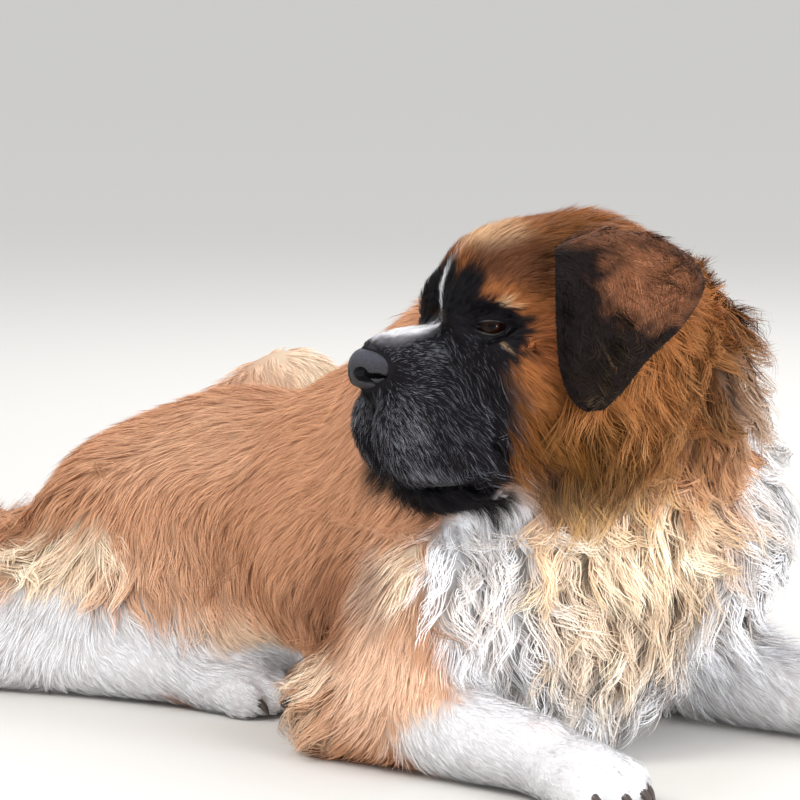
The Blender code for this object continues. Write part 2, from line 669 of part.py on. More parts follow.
def outward(points):
    """Unit vectors straight out of the dog."""
    parts = []
    for axis in range(3):
        shift = np.zeros(3)
        shift[axis] = PROBE
        parts.append(dog_field(points + shift) - dog_field(points - shift))
    result = np.stack(parts, -1)
    return result / (np.linalg.norm(result, axis=-1, keepdims=True) + 1e-12)


def settled(points, height):
    """Points moved until they stand at a height over the dog's core."""
    for _ in range(SETTLE_ROUNDS):
        points = points + outward(points) * (height - dog_field(points))[..., None]
    return points


def lie(points, out):
    """The way that the coat points, along the surface."""
    total = np.zeros(points.shape)
    for place, way in LIE:
        distance = ((points - np.array(place)) ** 2).sum(-1)
        weight = 1.0 / (LIE_REACH ** 2 + distance) ** 3
        total += weight[..., None] * np.array(way) / np.linalg.norm(way)
    total -= out * (total * out).sum(-1)[..., None]
    return total / (np.linalg.norm(total, axis=-1, keepdims=True) + 1e-12)


def coat_roots(centre, radii, spacing, chance, taken):
    """Scattered points of the surface inside an egg, no two nearer than the spacing."""
    spread = chance.uniform(-1.0, 1.0, (ROOT_TRIES, 3))
    spread = spread[(spread ** 2).sum(-1) < 1.0]
    points = settled(np.array(centre) + spread * np.array(radii), 0.0)
    inside = (((points - np.array(centre)) / np.array(radii)) ** 2).sum(-1) < ROOT_SHARE
    roots = []
    for point in points[inside]:
        if point[2] < ROOT_LOWEST:
            continue
        if all(np.linalg.norm(point - other) > spacing for other in taken + roots):
            roots.append(point)
    taken += roots
    return np.array(roots)


def lock_mesh(name, middles, outs, ways, width, thickness):
    """A flat lock that tapers to a point, from the places along its middle."""
    points = []
    for middle, out, way, share in zip(middles, outs, ways, LOCK_WIDTHS):
        aside = np.cross(out, way) * width * share / 2
        rise = out * thickness * share / 2
        points += [middle - aside, middle - rise, middle + aside, middle + rise]
    points.append(middles[-1])
    faces = [(3, 2, 1, 0)]
    rings = len(LOCK_WIDTHS)
    for ring in range(rings - 1):
        for corner in range(4):
            after = (corner + 1) % 4
            faces.append((4 * ring + corner, 4 * ring + after, 4 * ring + 4 + after, 4 * ring + 4 + corner))
    for corner in range(4):
        faces.append((4 * rings - 4 + corner, 4 * rings - 4 + (corner + 1) % 4, 4 * rings))
    return closed_mesh(name, points, faces)


def grow_locks(name, roots, size, chance, group):
    """One lock from each root, along the lie of the coat and up over the core."""
    length, width, thickness, rise = size
    count = len(roots)
    steps = len(LOCK_WIDTHS)
    longer = chance.uniform(1.0 - LOCK_VARIATION, 1.0 + LOCK_VARIATION, count)
    swing = chance.uniform(-LOCK_SWING, LOCK_SWING, count)
    phase = chance.uniform(0.0, 2.0 * math.pi, count)
    point = roots
    middles = []
    outs = []
    ways = []
    for step in range(steps + 1):
        share = step / steps
        height = LOCK_ROOT + (rise - LOCK_ROOT) * share ** LOCK_LIFT
        out = outward(point)
        way = lie(point, out)
        turn = swing * np.sin(phase + LOCK_TURN * share)
        way = way * np.cos(turn)[:, None] + np.cross(out, way) * np.sin(turn)[:, None]
        place = point + out * (height - dog_field(point))[:, None]
        place[:, 2] = np.maximum(place[:, 2], LOCK_LOWEST)
        middles.append(place)
        outs.append(out)
        ways.append(way)
        point = place + way * (longer * length / steps)[:, None]
    for index in range(count):
        mesh = lock_mesh(name, [row[index] for row in middles], [row[index] for row in outs],
                         [row[index] for row in ways], width * longer[index], thickness)
        item = bpy.data.objects.new(name, mesh)
        group.objects.link(item)


def add_coat(body):
    """Fuse all locks with the body in one union."""
    chance = np.random.default_rng(LOCK_SEED)
    group = bpy.data.collections.new("locks")
    bpy.context.scene.collection.children.link(group)
    taken = []
    for name, centre, radii, _, size, spacing in COAT:
        roots = coat_roots(centre, radii, spacing, chance, taken)
        if len(roots):
            grow_locks("lock_" + name, roots, LOCK_SIZES[size], chance, group)
    modifier = body.modifiers.new("coat", "BOOLEAN")
    modifier.operation = "UNION"
    modifier.solver = "EXACT"
    modifier.operand_type = "COLLECTION"
    modifier.collection = group
    bpy.context.view_layer.update()
    apply_modifiers(body)
    for item in list(group.objects):
        bpy.data.objects.remove(item, do_unlink=True)
    bpy.data.collections.remove(group)
    keep_largest(body)


def split_off(rest, name, kind, values):
    """Part one node from the rest with a thin gap between them."""
    node = copy_of(rest, name)
    keep = make_cutter(kind, values, 0.0)
    boolean(node, keep, "INTERSECT")
    bpy.data.objects.remove(keep, do_unlink=True)
    drop = make_cutter(kind, values, PART_GAP)
    boolean(rest, drop, "DIFFERENCE")
    bpy.data.objects.remove(drop, do_unlink=True)
    return node


def hollow_out(item, solid):
    """Cut a pocket for a solid from an object, a thin gap wider than the solid."""
    pocket = copy_of(solid, "pocket")
    pocket.hide_render = True
    pocket.display_type = "WIRE"
    mesh = pocket.data
    places = [vertex.co + vertex.normal * POCKET_GAP for vertex in mesh.vertices]
    for vertex, place in zip(mesh.vertices, places):
        vertex.co = place
    boolean(item, pocket, "DIFFERENCE")
    bpy.data.objects.remove(pocket, do_unlink=True)


def tube_mesh(name, rings):
    """A closed mesh from rings of points, each end closed with a fan."""
    count = len(rings[0])
    points = [point for ring in rings for point in ring]
    faces = []
    for row in range(len(rings) - 1):
        for column in range(count):
            after = (column + 1) % count
            faces.append((row * count + column, row * count + after,
                          (row + 1) * count + after, (row + 1) * count + column))
    faces.append(tuple(reversed(range(count))))
    last = (len(rings) - 1) * count
    faces.append(tuple(range(last, last + count)))
    return closed_mesh(name, points, faces)


def closed_mesh(name, points, faces):
    """A triangle mesh with its faces turned outward."""
    mesh = bpy.data.meshes.new(name)
    mesh.from_pydata([tuple(point) for point in points], [], faces)
    shape = bmesh.new()
    shape.from_mesh(mesh)
    bmesh.ops.recalc_face_normals(shape, faces=shape.faces)
    bmesh.ops.triangulate(shape, faces=shape.faces[:])
    shape.to_mesh(mesh)
    shape.free()
    return mesh


def ear_middle():
    """Rows of points on the middle of the left ear flap, from its root to its tip."""
    rows = []
    for front, rear, bulge, lift in zip(EAR_FRONT, EAR_REAR, EAR_BULGE, EAR_LIFT):
        row = []
        for column in range(EAR_COLUMNS + 1):
            share = column / EAR_COLUMNS
            arch = math.sin(math.pi * share)
            row.append(Vector(front).lerp(Vector(rear), share) + Vector((0.0, bulge, lift)) * arch)
        rows.append(row)
    return rows


def ear_object(name, side):
    """A hanging ear flap, thick in its middle, whose inner face is its cup."""
    rows = ear_middle()
    last_row, last_column = len(rows) - 1, EAR_COLUMNS
    outer = []
    inner = []
    for index, row in enumerate(rows):
        for column, place in enumerate(row):
            across = row[min(column + 1, last_column)] - row[max(column - 1, 0)]
            down = rows[min(index + 1, last_row)][column] - rows[max(index - 1, 0)][column]
            normal = across.cross(down).normalized()
            half = EAR_THICKNESS * (EAR_BORDER + EAR_MIDDLE * math.sin(math.pi * column / last_column))
            outer.append(place + normal * half)
            inner.append(place - normal * half)
    points = [head_point(point.x, side * point.y, point.z) for point in outer + inner]
    columns = EAR_COLUMNS + 1
    size = len(outer)
    faces = []
    for row in range(last_row):
        for column in range(last_column):
            corner = row * columns + column
            quad = (corner, corner + 1, corner + columns + 1, corner + columns)
            faces.append(quad)
            faces.append(tuple(index + size for index in reversed(quad)))
    border = [column for column in range(columns)]
    border += [row * columns + last_column for row in range(1, last_row + 1)]
    border += [last_row * columns + column for column in range(last_column - 1, -1, -1)]
    border += [row * columns for row in range(last_row - 1, 0, -1)]
    for here, there in zip(border, border[1:] + border[:1]):
        faces.append((here, here + size, there + size, there))
    return add_object(name, closed_mesh(name, points, faces))


def eye_object(name, side):
    shape = bmesh.new()
    bmesh.ops.create_uvsphere(shape, u_segments=EYE_SEGMENTS, v_segments=EYE_RINGS,
                              radius=EYE_RADIUS)
    place = head_point(EYE_PLACE[0], side * EYE_PLACE[1], EYE_PLACE[2])
    bmesh.ops.translate(shape, vec=place, verts=shape.verts)
    bmesh.ops.triangulate(shape, faces=shape.faces[:])
    mesh = bpy.data.meshes.new(name)
    shape.to_mesh(mesh)
    shape.free()
    return add_object(name, mesh)


def claw_object(name, paw, toe):
    """A blunt claw rooted in a toe that bends down towards the floor."""
    _, place, heading, length, half_width, height = paw
    aside_of_toe = TOE_SPREAD[toe] * half_width
    rings = []
    for reach, up, size in zip(CLAW_REACH, CLAW_HEIGHT, CLAW_SHARES):
        forward = (TOE_REACH[toe] + CLAW_ROOT + reach) * length
        middle = turned(heading, forward, aside_of_toe, up * height, (*place, 0.0))
        ring = []
        for corner in range(CLAW_CORNERS):
            angle = 2 * math.pi * corner / CLAW_CORNERS
            aside = CLAW_FLATNESS * size * CLAW_RADIUS * math.cos(angle)
            rise = size * CLAW_RADIUS * math.sin(angle)
            ring.append(turned(heading, 0.0, aside, rise, middle))
        rings.append(ring)
    return add_object(name, tube_mesh(name, rings))


def collar_reach(direction):
    """How far the neck reaches from the collar's centre in a direction."""
    steps = np.linspace(COLLAR_START, COLLAR_REACH, COLLAR_PROBES)
    points = np.array(COLLAR_CENTRE) + steps[:, None] * np.array(direction)
    outside = np.nonzero(core_field(points) > 0)[0]
    return steps[outside[0]] if len(outside) else COLLAR_REACH


def collar_object():
    """A flat band round the neck, let into it to its own thickness."""
    side = COLLAR_AXIS.cross(Vector((0, 0, 1))).normalized()
    up = side.cross(COLLAR_AXIS).normalized()
    spokes = []
    for segment in range(COLLAR_SEGMENTS):
        angle = 2 * math.pi * segment / COLLAR_SEGMENTS
        spokes.append(side * math.cos(angle) + up * math.sin(angle))
    reach = [collar_reach(spoke) for spoke in spokes]
    points = []
    faces = []
    half = COLLAR_AXIS * COLLAR_WIDTH / 2
    for spoke, distance in zip(spokes, reach):
        outer = COLLAR_CENTRE + spoke * (distance + COLLAR_PROUD)
        inner = outer - spoke * COLLAR_THICKNESS
        points += [outer - half, outer + half, inner + half, inner - half]
    for segment in range(COLLAR_SEGMENTS):
        here = 4 * segment
        after = 4 * ((segment + 1) % COLLAR_SEGMENTS)
        for corner in range(4):
            turn = (corner + 1) % 4
            faces.append((here + corner, here + turn, after + turn, after + corner))
    return add_object("collar", closed_mesh("collar", points, faces))


def tab_object():
    """A short end of webbing that lies on the collar on the left of the neck."""
    direction = (Vector(TAB_PLACE) - COLLAR_CENTRE)
    direction -= COLLAR_AXIS * direction.dot(COLLAR_AXIS)
    direction.normalize()
    distance = collar_reach(direction) + COLLAR_PROUD + TAB_GAP + TAB_SIZE[1] / 2
    along = direction.cross(COLLAR_AXIS)
    turn = Matrix((along, direction, COLLAR_AXIS)).transposed().to_4x4()
    shape = bmesh.new()
    bmesh.ops.create_cube(shape, size=1.0)
    size = Matrix.Diagonal((*TAB_SIZE, 1.0))
    place = Matrix.Translation(COLLAR_CENTRE + direction * distance) @ turn @ size
    bmesh.ops.transform(shape, matrix=place, verts=shape.verts)
    bmesh.ops.triangulate(shape, faces=shape.faces[:])
    bmesh.ops.recalc_face_normals(shape, faces=shape.faces)
    mesh = bpy.data.meshes.new("collar_tab")
    shape.to_mesh(mesh)
    shape.free()
    return add_object("collar_tab", mesh)


# Where the head parts from the neck: behind the ears and jaw, and under the chin
HEAD_PLANES = ((head_point(-0.262, 0.0, -0.020), turned(HEAD_HEADING, 0.86, 0.0, 0.51)),
               (head_point(-0.100, 0.0, -0.150), turned(HEAD_HEADING, 0.04, 0.0, 1.0)),
               (head_point(-0.170, -0.126, 0.0), turned(HEAD_HEADING, 0.0, 0.88, 0.48)))
# Parts of the head: name, kind and the cutter's place and size
HEAD_CUTS = (
    ("nose", "egg", (head_point(-0.0175, 0.0, -0.0085), (0.0270, 0.0330, 0.0275), HEAD_HEADING, 0.0)),
    ("lower_jaw", "wedge", ((head_point(-0.100, 0.0, -0.1150), (0.0, 0.0, -1.0)),
                            (head_point(-0.142, 0.0, -0.120), turned(HEAD_HEADING, 1.0, 0.0, 0.0)))),
)
# Parts of the body, in the order that they are cut
BODY_CUTS = (
    ("front_paw_right", "wedge", corridor((0.128, -0.168, 0.0), -46.0, 0.085)),
    ("front_paw_left", "wedge", corridor((0.462, 0.042, 0.0), -38.0, 0.085)),
    ("forearm_right", "wedge", corridor((-0.020, -0.036, 0.0), -44.0, 0.066)
     + (((0.0, 0.0, 0.104), (0.0, 0.0, -1.0)),)),
    ("forearm_left", "wedge", corridor((0.322, 0.160, 0.0), -40.0, 0.066)
     + (((0.0, 0.0, 0.104), (0.0, 0.0, -1.0)),)),
    ("neck", "wedge", ((thorax(0.045, 0.0, 0.300), turned(THORAX_HEADING, 0.62, 0.0, 0.78)),
                       ((0.0, 0.0, 0.215), (0.0, 0.0, 1.0)))),
    ("upper_arm_right", "egg", ((-0.020, -0.034, 0.088), (0.128, 0.076, 0.148), -42.0, 0.0)),
    ("upper_arm_left", "egg", (thorax(0.060, 0.215, 0.120), (0.128, 0.070, 0.158), THORAX_HEADING, 0.0)),
    ("hind_foot_right", "wedge", (((0.0, 0.0, 0.066), (0.0, 0.0, -1.0)),
                                  ((-0.290, 0.325, 0.0), (-0.407, -0.913, 0.0)),
                                  ((-0.085, 0.0, 0.0), (-1.0, 0.0, 0.0)))),
    ("shank_right", "egg", ((-0.372, 0.318, 0.104), (0.150, 0.064, 0.078), 166.0, 0.0)),
    ("thigh_right", "egg", ((-0.222, 0.322, 0.100), (0.165, 0.118, 0.150), -38.0, 0.0)),
    ("tail_tip", "wedge", (((-0.470, 0.745, 0.0), (-0.20, 0.98, 0.0)),)),
    ("tail", "wedge", (((-0.395, 0.556, 0.0), (-0.65, 0.76, 0.0)),
                       ((-0.398, 0.640, 0.0), (-0.94, 0.34, 0.0)))),
    ("hind_foot_left", "wedge", (((0.0, 0.0, 0.068), (0.0, 0.0, -1.0)),
                                 ((-0.250, 0.652, 0.0), (0.05, 1.0, 0.0)))),
    ("shank_left", "egg", ((-0.222, 0.672, 0.158), (0.165, 0.052, 0.060), 154.0, 40.0)),
    ("thigh_left", "egg", ((-0.172, 0.600, 0.185), (0.138, 0.092, 0.145), -8.0, 0.0)),
    ("rump", "wedge", (((-0.205, 0.440, 0.0), turned(PELVIS_HEADING, -1.0, 0.0)),)),
    ("chest", "wedge", ((thorax(-0.120, 0.0, 0.0), turned(THORAX_HEADING, 1.0, 0.0)),)),
)
NODE_MATERIALS = {
    "mask_fur": ("lower_jaw", "ear_left", "ear_right"),
    "cream_fur": ("thigh_left", "neck"),
    "white_fur": ("front_paw_right", "front_paw_left", "forearm_right", "forearm_left", "hind_foot_right",
                  "hind_foot_left", "shank_right", "shank_left", "tail_tip", "chest", "upper_arm_left"),
    "nose_skin": ("nose",),
    "eye": ("eye_left", "eye_right"),
    "collar": ("collar", "collar_tab"),
}


def head_only(points):
    """The dog's field near the head, closed off behind the cut to the neck."""
    result = dog_field(points)
    for point, inward in HEAD_PLANES:
        inward = np.array(Vector(inward).normalized())
        result = np.maximum(result, (np.array(point) - points) @ inward - HEAD_MARGIN * HEAD_STEP)
    return result


def head_parts(collar):
    """The head with its nose, lower jaw, eyes and ears."""
    centre = np.array(head_point(*HEAD_MIDDLE))
    reach = np.array(HEAD_REACH)
    head = surface_mesh(head_only, centre - reach, centre + reach, HEAD_STEP, "head")
    decimate(head, HEAD_TRIANGLES)
    region = wedge_cutter("cutter", HEAD_PLANES, 0.0)
    boolean(head, region, "INTERSECT")
    bpy.data.objects.remove(region, do_unlink=True)
    hollow_out(head, collar)
    parts = [split_off(head, name, kind, values) for name, kind, values in HEAD_CUTS]
    for name, side in (("left", 1), ("right", -1)):
        for solid in (ear_object("ear_" + name, side), eye_object("eye_" + name, side)):
            hollow_out(head, solid)
            parts.append(solid)
    return [head] + parts


def body_parts(guests):
    """The neck, trunk, legs and tail, with their claws, and pockets for guests in their coat."""
    body = surface_mesh(dog_field, BODY_LOW, BODY_HIGH, BODY_STEP, "torso")
    decimate(body, BODY_TRIANGLES)
    add_coat(body)
    cut_floor(body)
    region = wedge_cutter("cutter", HEAD_PLANES, PART_GAP)
    boolean(body, region, "DIFFERENCE")
    bpy.data.objects.remove(region, do_unlink=True)
    for guest in guests:
        hollow_out(body, guest)
    parts = {name: split_off(body, name, kind, values) for name, kind, values in BODY_CUTS}
    claws = []
    for paw in PAWS:
        leg, side = paw[0].split("_")
        owner = parts[("front_paw_" if leg == "front" else "hind_foot_") + side]
        for toe in range(len(TOE_SPREAD)):
            claw = claw_object("claw_%s_%d" % (paw[0], toe + 1), paw, toe)
            hollow_out(owner, claw)
            claws.append(claw)
    return [body] + list(parts.values()) + claws


def give_material(item):
    """The material that fits a node's name, on all its faces."""
    kind = "claw" if item.name.startswith("claw") else "orange_fur"
    for name, members in NODE_MATERIALS.items():
        if item.name in members:
            kind = name
    colour, roughness = MATERIALS[kind]
    material = bpy.data.materials.new(item.name)
    material.use_nodes = True
    shader = material.node_tree.nodes["Principled BSDF"]
    shader.inputs["Base Color"].default_value = colour
    shader.inputs["Roughness"].default_value = roughness
    item.data.materials.clear()
    item.data.materials.append(material)
    for face in item.data.polygons:
        face.material_index = 0
        face.use_smooth = True


def centre_on_floor(items):
    """Move all so that the box round them stands centred on the origin."""
    points = np.array([vertex.co[:] for item in items for vertex in item.data.vertices])
    middle = (points.min(0) + points.max(0)) / 2
    for item in items:
        item.data.transform(Matrix.Translation((-middle[0], -middle[1], -points[:, 2].min())))


def build():
    clear_scene()
    collar = collar_object()
    items = [collar, tab_object()] + head_parts(collar)
    guests = [bpy.data.objects[name] for name in ("collar", "collar_tab", "ear_left", "ear_right")]
    items += body_parts(guests)
    for item in items:
        keep_largest(item)
        give_material(item)
    centre_on_floor(items)


build()
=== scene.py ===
"""A life-size saint bernard that lies on its chest, dressed over the frame of the CAD model.

Places are laid out as in the CAD source, with the nose near the origin, and moved onto the
frame at the end. One skin is meshed from a smooth field, and tufts grow from it along the coat.
"""
import math

import bmesh
import bpy
import numpy as np
from mathutils import Matrix, Vector
from mathutils.bvhtree import BVHTree
from mathutils.kdtree import KDTree


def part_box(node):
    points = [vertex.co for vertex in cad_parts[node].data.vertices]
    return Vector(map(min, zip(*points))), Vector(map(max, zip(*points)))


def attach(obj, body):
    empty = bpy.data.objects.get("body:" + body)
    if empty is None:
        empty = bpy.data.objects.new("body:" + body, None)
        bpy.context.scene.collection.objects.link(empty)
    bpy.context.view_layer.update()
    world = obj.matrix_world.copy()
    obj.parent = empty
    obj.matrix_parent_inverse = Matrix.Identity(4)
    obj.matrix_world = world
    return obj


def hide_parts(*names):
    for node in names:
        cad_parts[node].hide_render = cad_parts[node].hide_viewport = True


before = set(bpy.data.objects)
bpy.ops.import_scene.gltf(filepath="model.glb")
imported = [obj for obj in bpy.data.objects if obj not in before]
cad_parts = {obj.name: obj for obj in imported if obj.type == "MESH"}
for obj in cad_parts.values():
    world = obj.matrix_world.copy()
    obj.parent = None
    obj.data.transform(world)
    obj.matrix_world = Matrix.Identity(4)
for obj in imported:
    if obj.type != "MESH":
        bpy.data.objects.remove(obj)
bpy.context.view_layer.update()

THORAX_HEADING = -57.0
PELVIS_HEADING = -30.0
HEAD_HEADING = 198.0
NOSE_TIP = (-0.046, -0.110, 0.397)
EYE_RADIUS = 0.0165
EYE_PLACE = (-0.1220, 0.0500, 0.0360)
ELBOW_RIGHT = (-0.058, 0.000, 0.052)
ELBOW_HALF_SPACING = 0.195
PAW_BLEND = 0.012
TOE_BLEND = 0.006
PAD_PLACE = (0.36, 0.46)
PAD_SIZE = (0.50, 0.86, 0.50)
TOE_BACK = 0.10
TOE_SIZE = (0.25, 0.28, 0.36)
HEAD_STEP = 0.0016
BODY_STEP = 0.0050
TUFT_SHARE = 1.0
PIECE_TRIANGLES = 190000
SEED = 5

def turned(heading, forward, left, up=0.0, start=(0.0, 0.0, 0.0)):
    """The point reached from start by going forward, left and up at a heading."""
    angle = math.radians(heading)
    return (start[0] + forward * math.cos(angle) - left * math.sin(angle),
            start[1] + forward * math.sin(angle) + left * math.cos(angle),
            start[2] + up)


MID_ELBOW = turned(THORAX_HEADING, 0.0, ELBOW_HALF_SPACING, -ELBOW_RIGHT[2], ELBOW_RIGHT)
ELBOW_LEFT = turned(THORAX_HEADING, 0.0, 2 * ELBOW_HALF_SPACING, 0.0, ELBOW_RIGHT)


def thorax(forward, left, up):
    return turned(THORAX_HEADING, forward, left, up, MID_ELBOW)


def head_point(forward, left, up):
    return turned(HEAD_HEADING, forward, left, up, NOSE_TIP)


# Trunk: name, centre, radii (forward, left, up), heading, blend
TRUNK = (
    ("chest", thorax(-0.020, 0.005, 0.180), (0.178, 0.180, 0.186), THORAX_HEADING, 0.04),
    ("breast", thorax(0.105, 0.010, 0.150), (0.100, 0.130, 0.146), THORAX_HEADING, 0.05),
    ("ribs", thorax(-0.170, 0.0, 0.178), (0.190, 0.172, 0.183), -54.0, 0.05),
    ("withers", thorax(-0.075, 0.010, 0.315), (0.130, 0.105, 0.090), THORAX_HEADING, 0.05),
    ("shoulder_left", thorax(0.055, 0.182, 0.205), (0.108, 0.098, 0.126), THORAX_HEADING, 0.04),
    ("shoulder_right", thorax(0.035, -0.128, 0.140), (0.092, 0.066, 0.092), THORAX_HEADING, 0.03),
    ("loin", (-0.150, 0.395, 0.160), (0.185, 0.138, 0.150), -42.0, 0.05),
    ("pelvis", (-0.262, 0.470, 0.132), (0.140, 0.124, 0.128), PELVIS_HEADING, 0.05),
    ("rump", (-0.325, 0.500, 0.098), (0.082, 0.085, 0.084), PELVIS_HEADING, 0.04),
    ("haunch_right", (-0.252, 0.362, 0.116), (0.155, 0.090, 0.115), -38.0, 0.04),
    ("haunch_left", (-0.205, 0.588, 0.145), (0.105, 0.068, 0.100), -8.0, 0.04),
)

# Limbs and neck: name, points along the middle, radius at each point, blend
LIMBS = (
    ("neck", (thorax(0.000, 0.000, 0.300), (0.196, 0.020, 0.352), head_point(-0.240, 0.0, -0.005)),
     (0.150, 0.148, 0.112), 0.05),
    ("upper_arm_right", (thorax(0.100, -0.140, 0.160), ELBOW_RIGHT), (0.068, 0.050), 0.03),
    ("upper_arm_left", (thorax(0.110, 0.150, 0.205), ELBOW_LEFT), (0.078, 0.052), 0.03),
    ("forearm_right", (ELBOW_RIGHT, (0.040, -0.088, 0.048), (0.128, -0.168, 0.040)),
     (0.050, 0.046, 0.037), 0.02),
    ("forearm_left", (ELBOW_LEFT, (0.365, 0.125, 0.048), (0.462, 0.042, 0.040)),
     (0.052, 0.046, 0.037), 0.02),
    ("thigh_right", ((-0.290, 0.390, 0.135), (-0.160, 0.275, 0.085)), (0.100, 0.062), 0.04),
    ("shank_right", ((-0.160, 0.275, 0.080), (-0.300, 0.312, 0.085), (-0.430, 0.342, 0.104)),
     (0.062, 0.056, 0.044), 0.03),
    ("heel_right", ((-0.430, 0.342, 0.104), (-0.456, 0.345, 0.052)), (0.044, 0.040), 0.02),
    ("metatarsus_right", ((-0.456, 0.345, 0.046), (-0.310, 0.288, 0.040), (-0.205, 0.230, 0.036)),
     (0.042, 0.036, 0.032), 0.015),
    ("thigh_left", ((-0.255, 0.565, 0.160), (-0.122, 0.602, 0.254)), (0.090, 0.068), 0.03),
    ("shank_left", ((-0.118, 0.602, 0.252), (-0.220, 0.655, 0.150), (-0.312, 0.695, 0.070)),
     (0.064, 0.050, 0.038), 0.03),
    ("metatarsus_left", ((-0.322, 0.698, 0.046), (-0.200, 0.700, 0.040), (-0.130, 0.695, 0.036)),
     (0.042, 0.035, 0.032), 0.015),
    ("tail", ((-0.372, 0.530, 0.110), (-0.428, 0.580, 0.078), (-0.462, 0.640, 0.061),
              (-0.472, 0.705, 0.058), (-0.456, 0.768, 0.059), (-0.414, 0.820, 0.058),
              (-0.352, 0.858, 0.054), (-0.285, 0.876, 0.046), (-0.215, 0.880, 0.034)),
     (0.052, 0.054, 0.056, 0.060, 0.062, 0.060, 0.056, 0.045, 0.024), 0.02),
)

# Paws: name, place of the wrist end, heading, length, half width, height
PAWS = (
    ("front_right", (0.128, -0.168), -46.0, 0.122, 0.050, 0.064),
    ("front_left", (0.462, 0.042), -38.0, 0.122, 0.050, 0.064),
    ("hind_right", (-0.205, 0.230), -27.0, 0.104, 0.042, 0.058),
    ("hind_left", (-0.130, 0.695), -6.0, 0.104, 0.042, 0.058),
)
TOE_SPREAD = (-0.68, -0.24, 0.24, 0.68)
TOE_REACH = (0.72, 0.86, 0.86, 0.72)

# Head: name, centre and radii in head axes (forward, left, up), blend. A name that ends
# in _pair is made on both sides.
HEAD = (
    ("skull", (-0.228, 0.000, 0.042), (0.096, 0.096, 0.094), 0.030),
    ("forehead", (-0.158, 0.000, 0.059), (0.070, 0.080, 0.067), 0.025),
    ("brow_pair", (-0.122, 0.044, 0.060), (0.028, 0.024, 0.016), 0.020),
    ("brow_front_pair", (-0.097, 0.034, 0.044), (0.019, 0.018, 0.027), 0.012),
    ("muzzle", (-0.066, 0.000, -0.014), (0.058, 0.045, 0.041), 0.018),
    ("bridge", (-0.070, 0.000, 0.010), (0.058, 0.024, 0.017), 0.015),
    ("nose", (-0.0280, 0.000, -0.0015), (0.0250, 0.0205, 0.0130), 0.006),
    ("nose_front", (-0.0125, 0.000, -0.0085), (0.0135, 0.0190, 0.0190), 0.005),
    ("nose_wing_pair", (-0.0240, 0.0145, -0.0080), (0.0180, 0.0115, 0.0125), 0.004),
    ("flew_pair", (-0.061, 0.033, -0.064), (0.050, 0.027, 0.052), 0.012),
    ("flew_rear_pair", (-0.102, 0.050, -0.070), (0.045, 0.021, 0.048), 0.018),
    ("muzzle_root_pair", (-0.112, 0.034, -0.004), (0.034, 0.030, 0.044), 0.020),
    ("chin", (-0.096, 0.000, -0.119), (0.052, 0.035, 0.026), 0.005),
    ("jaw", (-0.155, 0.000, -0.085), (0.080, 0.062, 0.048), 0.020),
    ("cheek_pair", (-0.185, 0.068, -0.028), (0.070, 0.040, 0.070), 0.028),
    ("cheekbone_pair", (-0.150, 0.064, 0.014), (0.045, 0.028, 0.022), 0.020),
    ("throat", (-0.205, 0.000, -0.070), (0.085, 0.080, 0.062), 0.030),
)
# Hollows of the head: eye sockets, nostrils, the groove of the lip and the line of the mouth
HEAD_HOLLOWS = (
    ("orbit_pair", (-0.108, 0.068, 0.037), (0.024, 0.012, 0.013), 0.012),
    ("nostril_pair", (-0.0100, 0.0145, -0.0095), (0.0120, 0.0075, 0.0068), 0.002),
    ("nostril_slit_pair", (-0.0205, 0.0230, -0.0110), (0.0150, 0.0070, 0.0030), 0.002),
    ("philtrum", (0.000, 0.000, -0.026), (0.006, 0.0016, 0.022), 0.002),
    ("lip_notch", (-0.012, 0.000, -0.090), (0.016, 0.006, 0.030), 0.006),
    ("mouth_pair", (-0.078, 0.052, -0.1150), (0.066, 0.032, 0.0035), 0.003),
)

def sides(name, centre):
    """The name and centre once, or on both sides for a pair."""
    if not name.endswith("_pair"):
        return [(name, centre)]
    mirrored = (centre[0], -centre[1], centre[2])
    return [(name + "_left", centre), (name + "_right", mirrored)]


def egg_distance(points, centre, radii, heading=0.0):
    """Rough signed distance to an egg shape turned about the vertical."""
    angle = math.radians(heading)
    x = points[..., 0] - centre[0]
    y = points[..., 1] - centre[1]
    z = points[..., 2] - centre[2]
    forward = x * math.cos(angle) + y * math.sin(angle)
    left = y * math.cos(angle) - x * math.sin(angle)
    scaled = np.stack((forward / radii[0], left / radii[1], z / radii[2]), -1)
    slope = np.stack((scaled[..., 0] / radii[0], scaled[..., 1] / radii[1], scaled[..., 2] / radii[2]), -1)
    size = np.sqrt((scaled ** 2).sum(-1))
    steepness = np.sqrt((slope ** 2).sum(-1)) + 1e-9
    return size * (size - 1.0) / steepness


def limb_distance(points, path, radii):
    """Distance to a chain of tapered lengths."""
    best = None
    for start, end, first, last in zip(path, path[1:], radii, radii[1:]):
        start = np.array(start)
        along = np.array(end) - start
        share = ((points - start) @ along) / (along @ along)
        share = np.clip(share, 0.0, 1.0)
        nearest = start + share[..., None] * along
        distance = np.sqrt(((points - nearest) ** 2).sum(-1)) - (first + (last - first) * share)
        best = distance if best is None else np.minimum(best, distance)
    return best


def blend(first, second, width):
    """Smooth union of two fields."""
    overlap = np.clip(0.5 + 0.5 * (second - first) / width, 0.0, 1.0)
    return second + (first - second) * overlap - width * overlap * (1.0 - overlap)


def carve(field, hollow, width):
    """Smooth cut of a hollow from a field."""
    return -blend(-field, hollow, width)


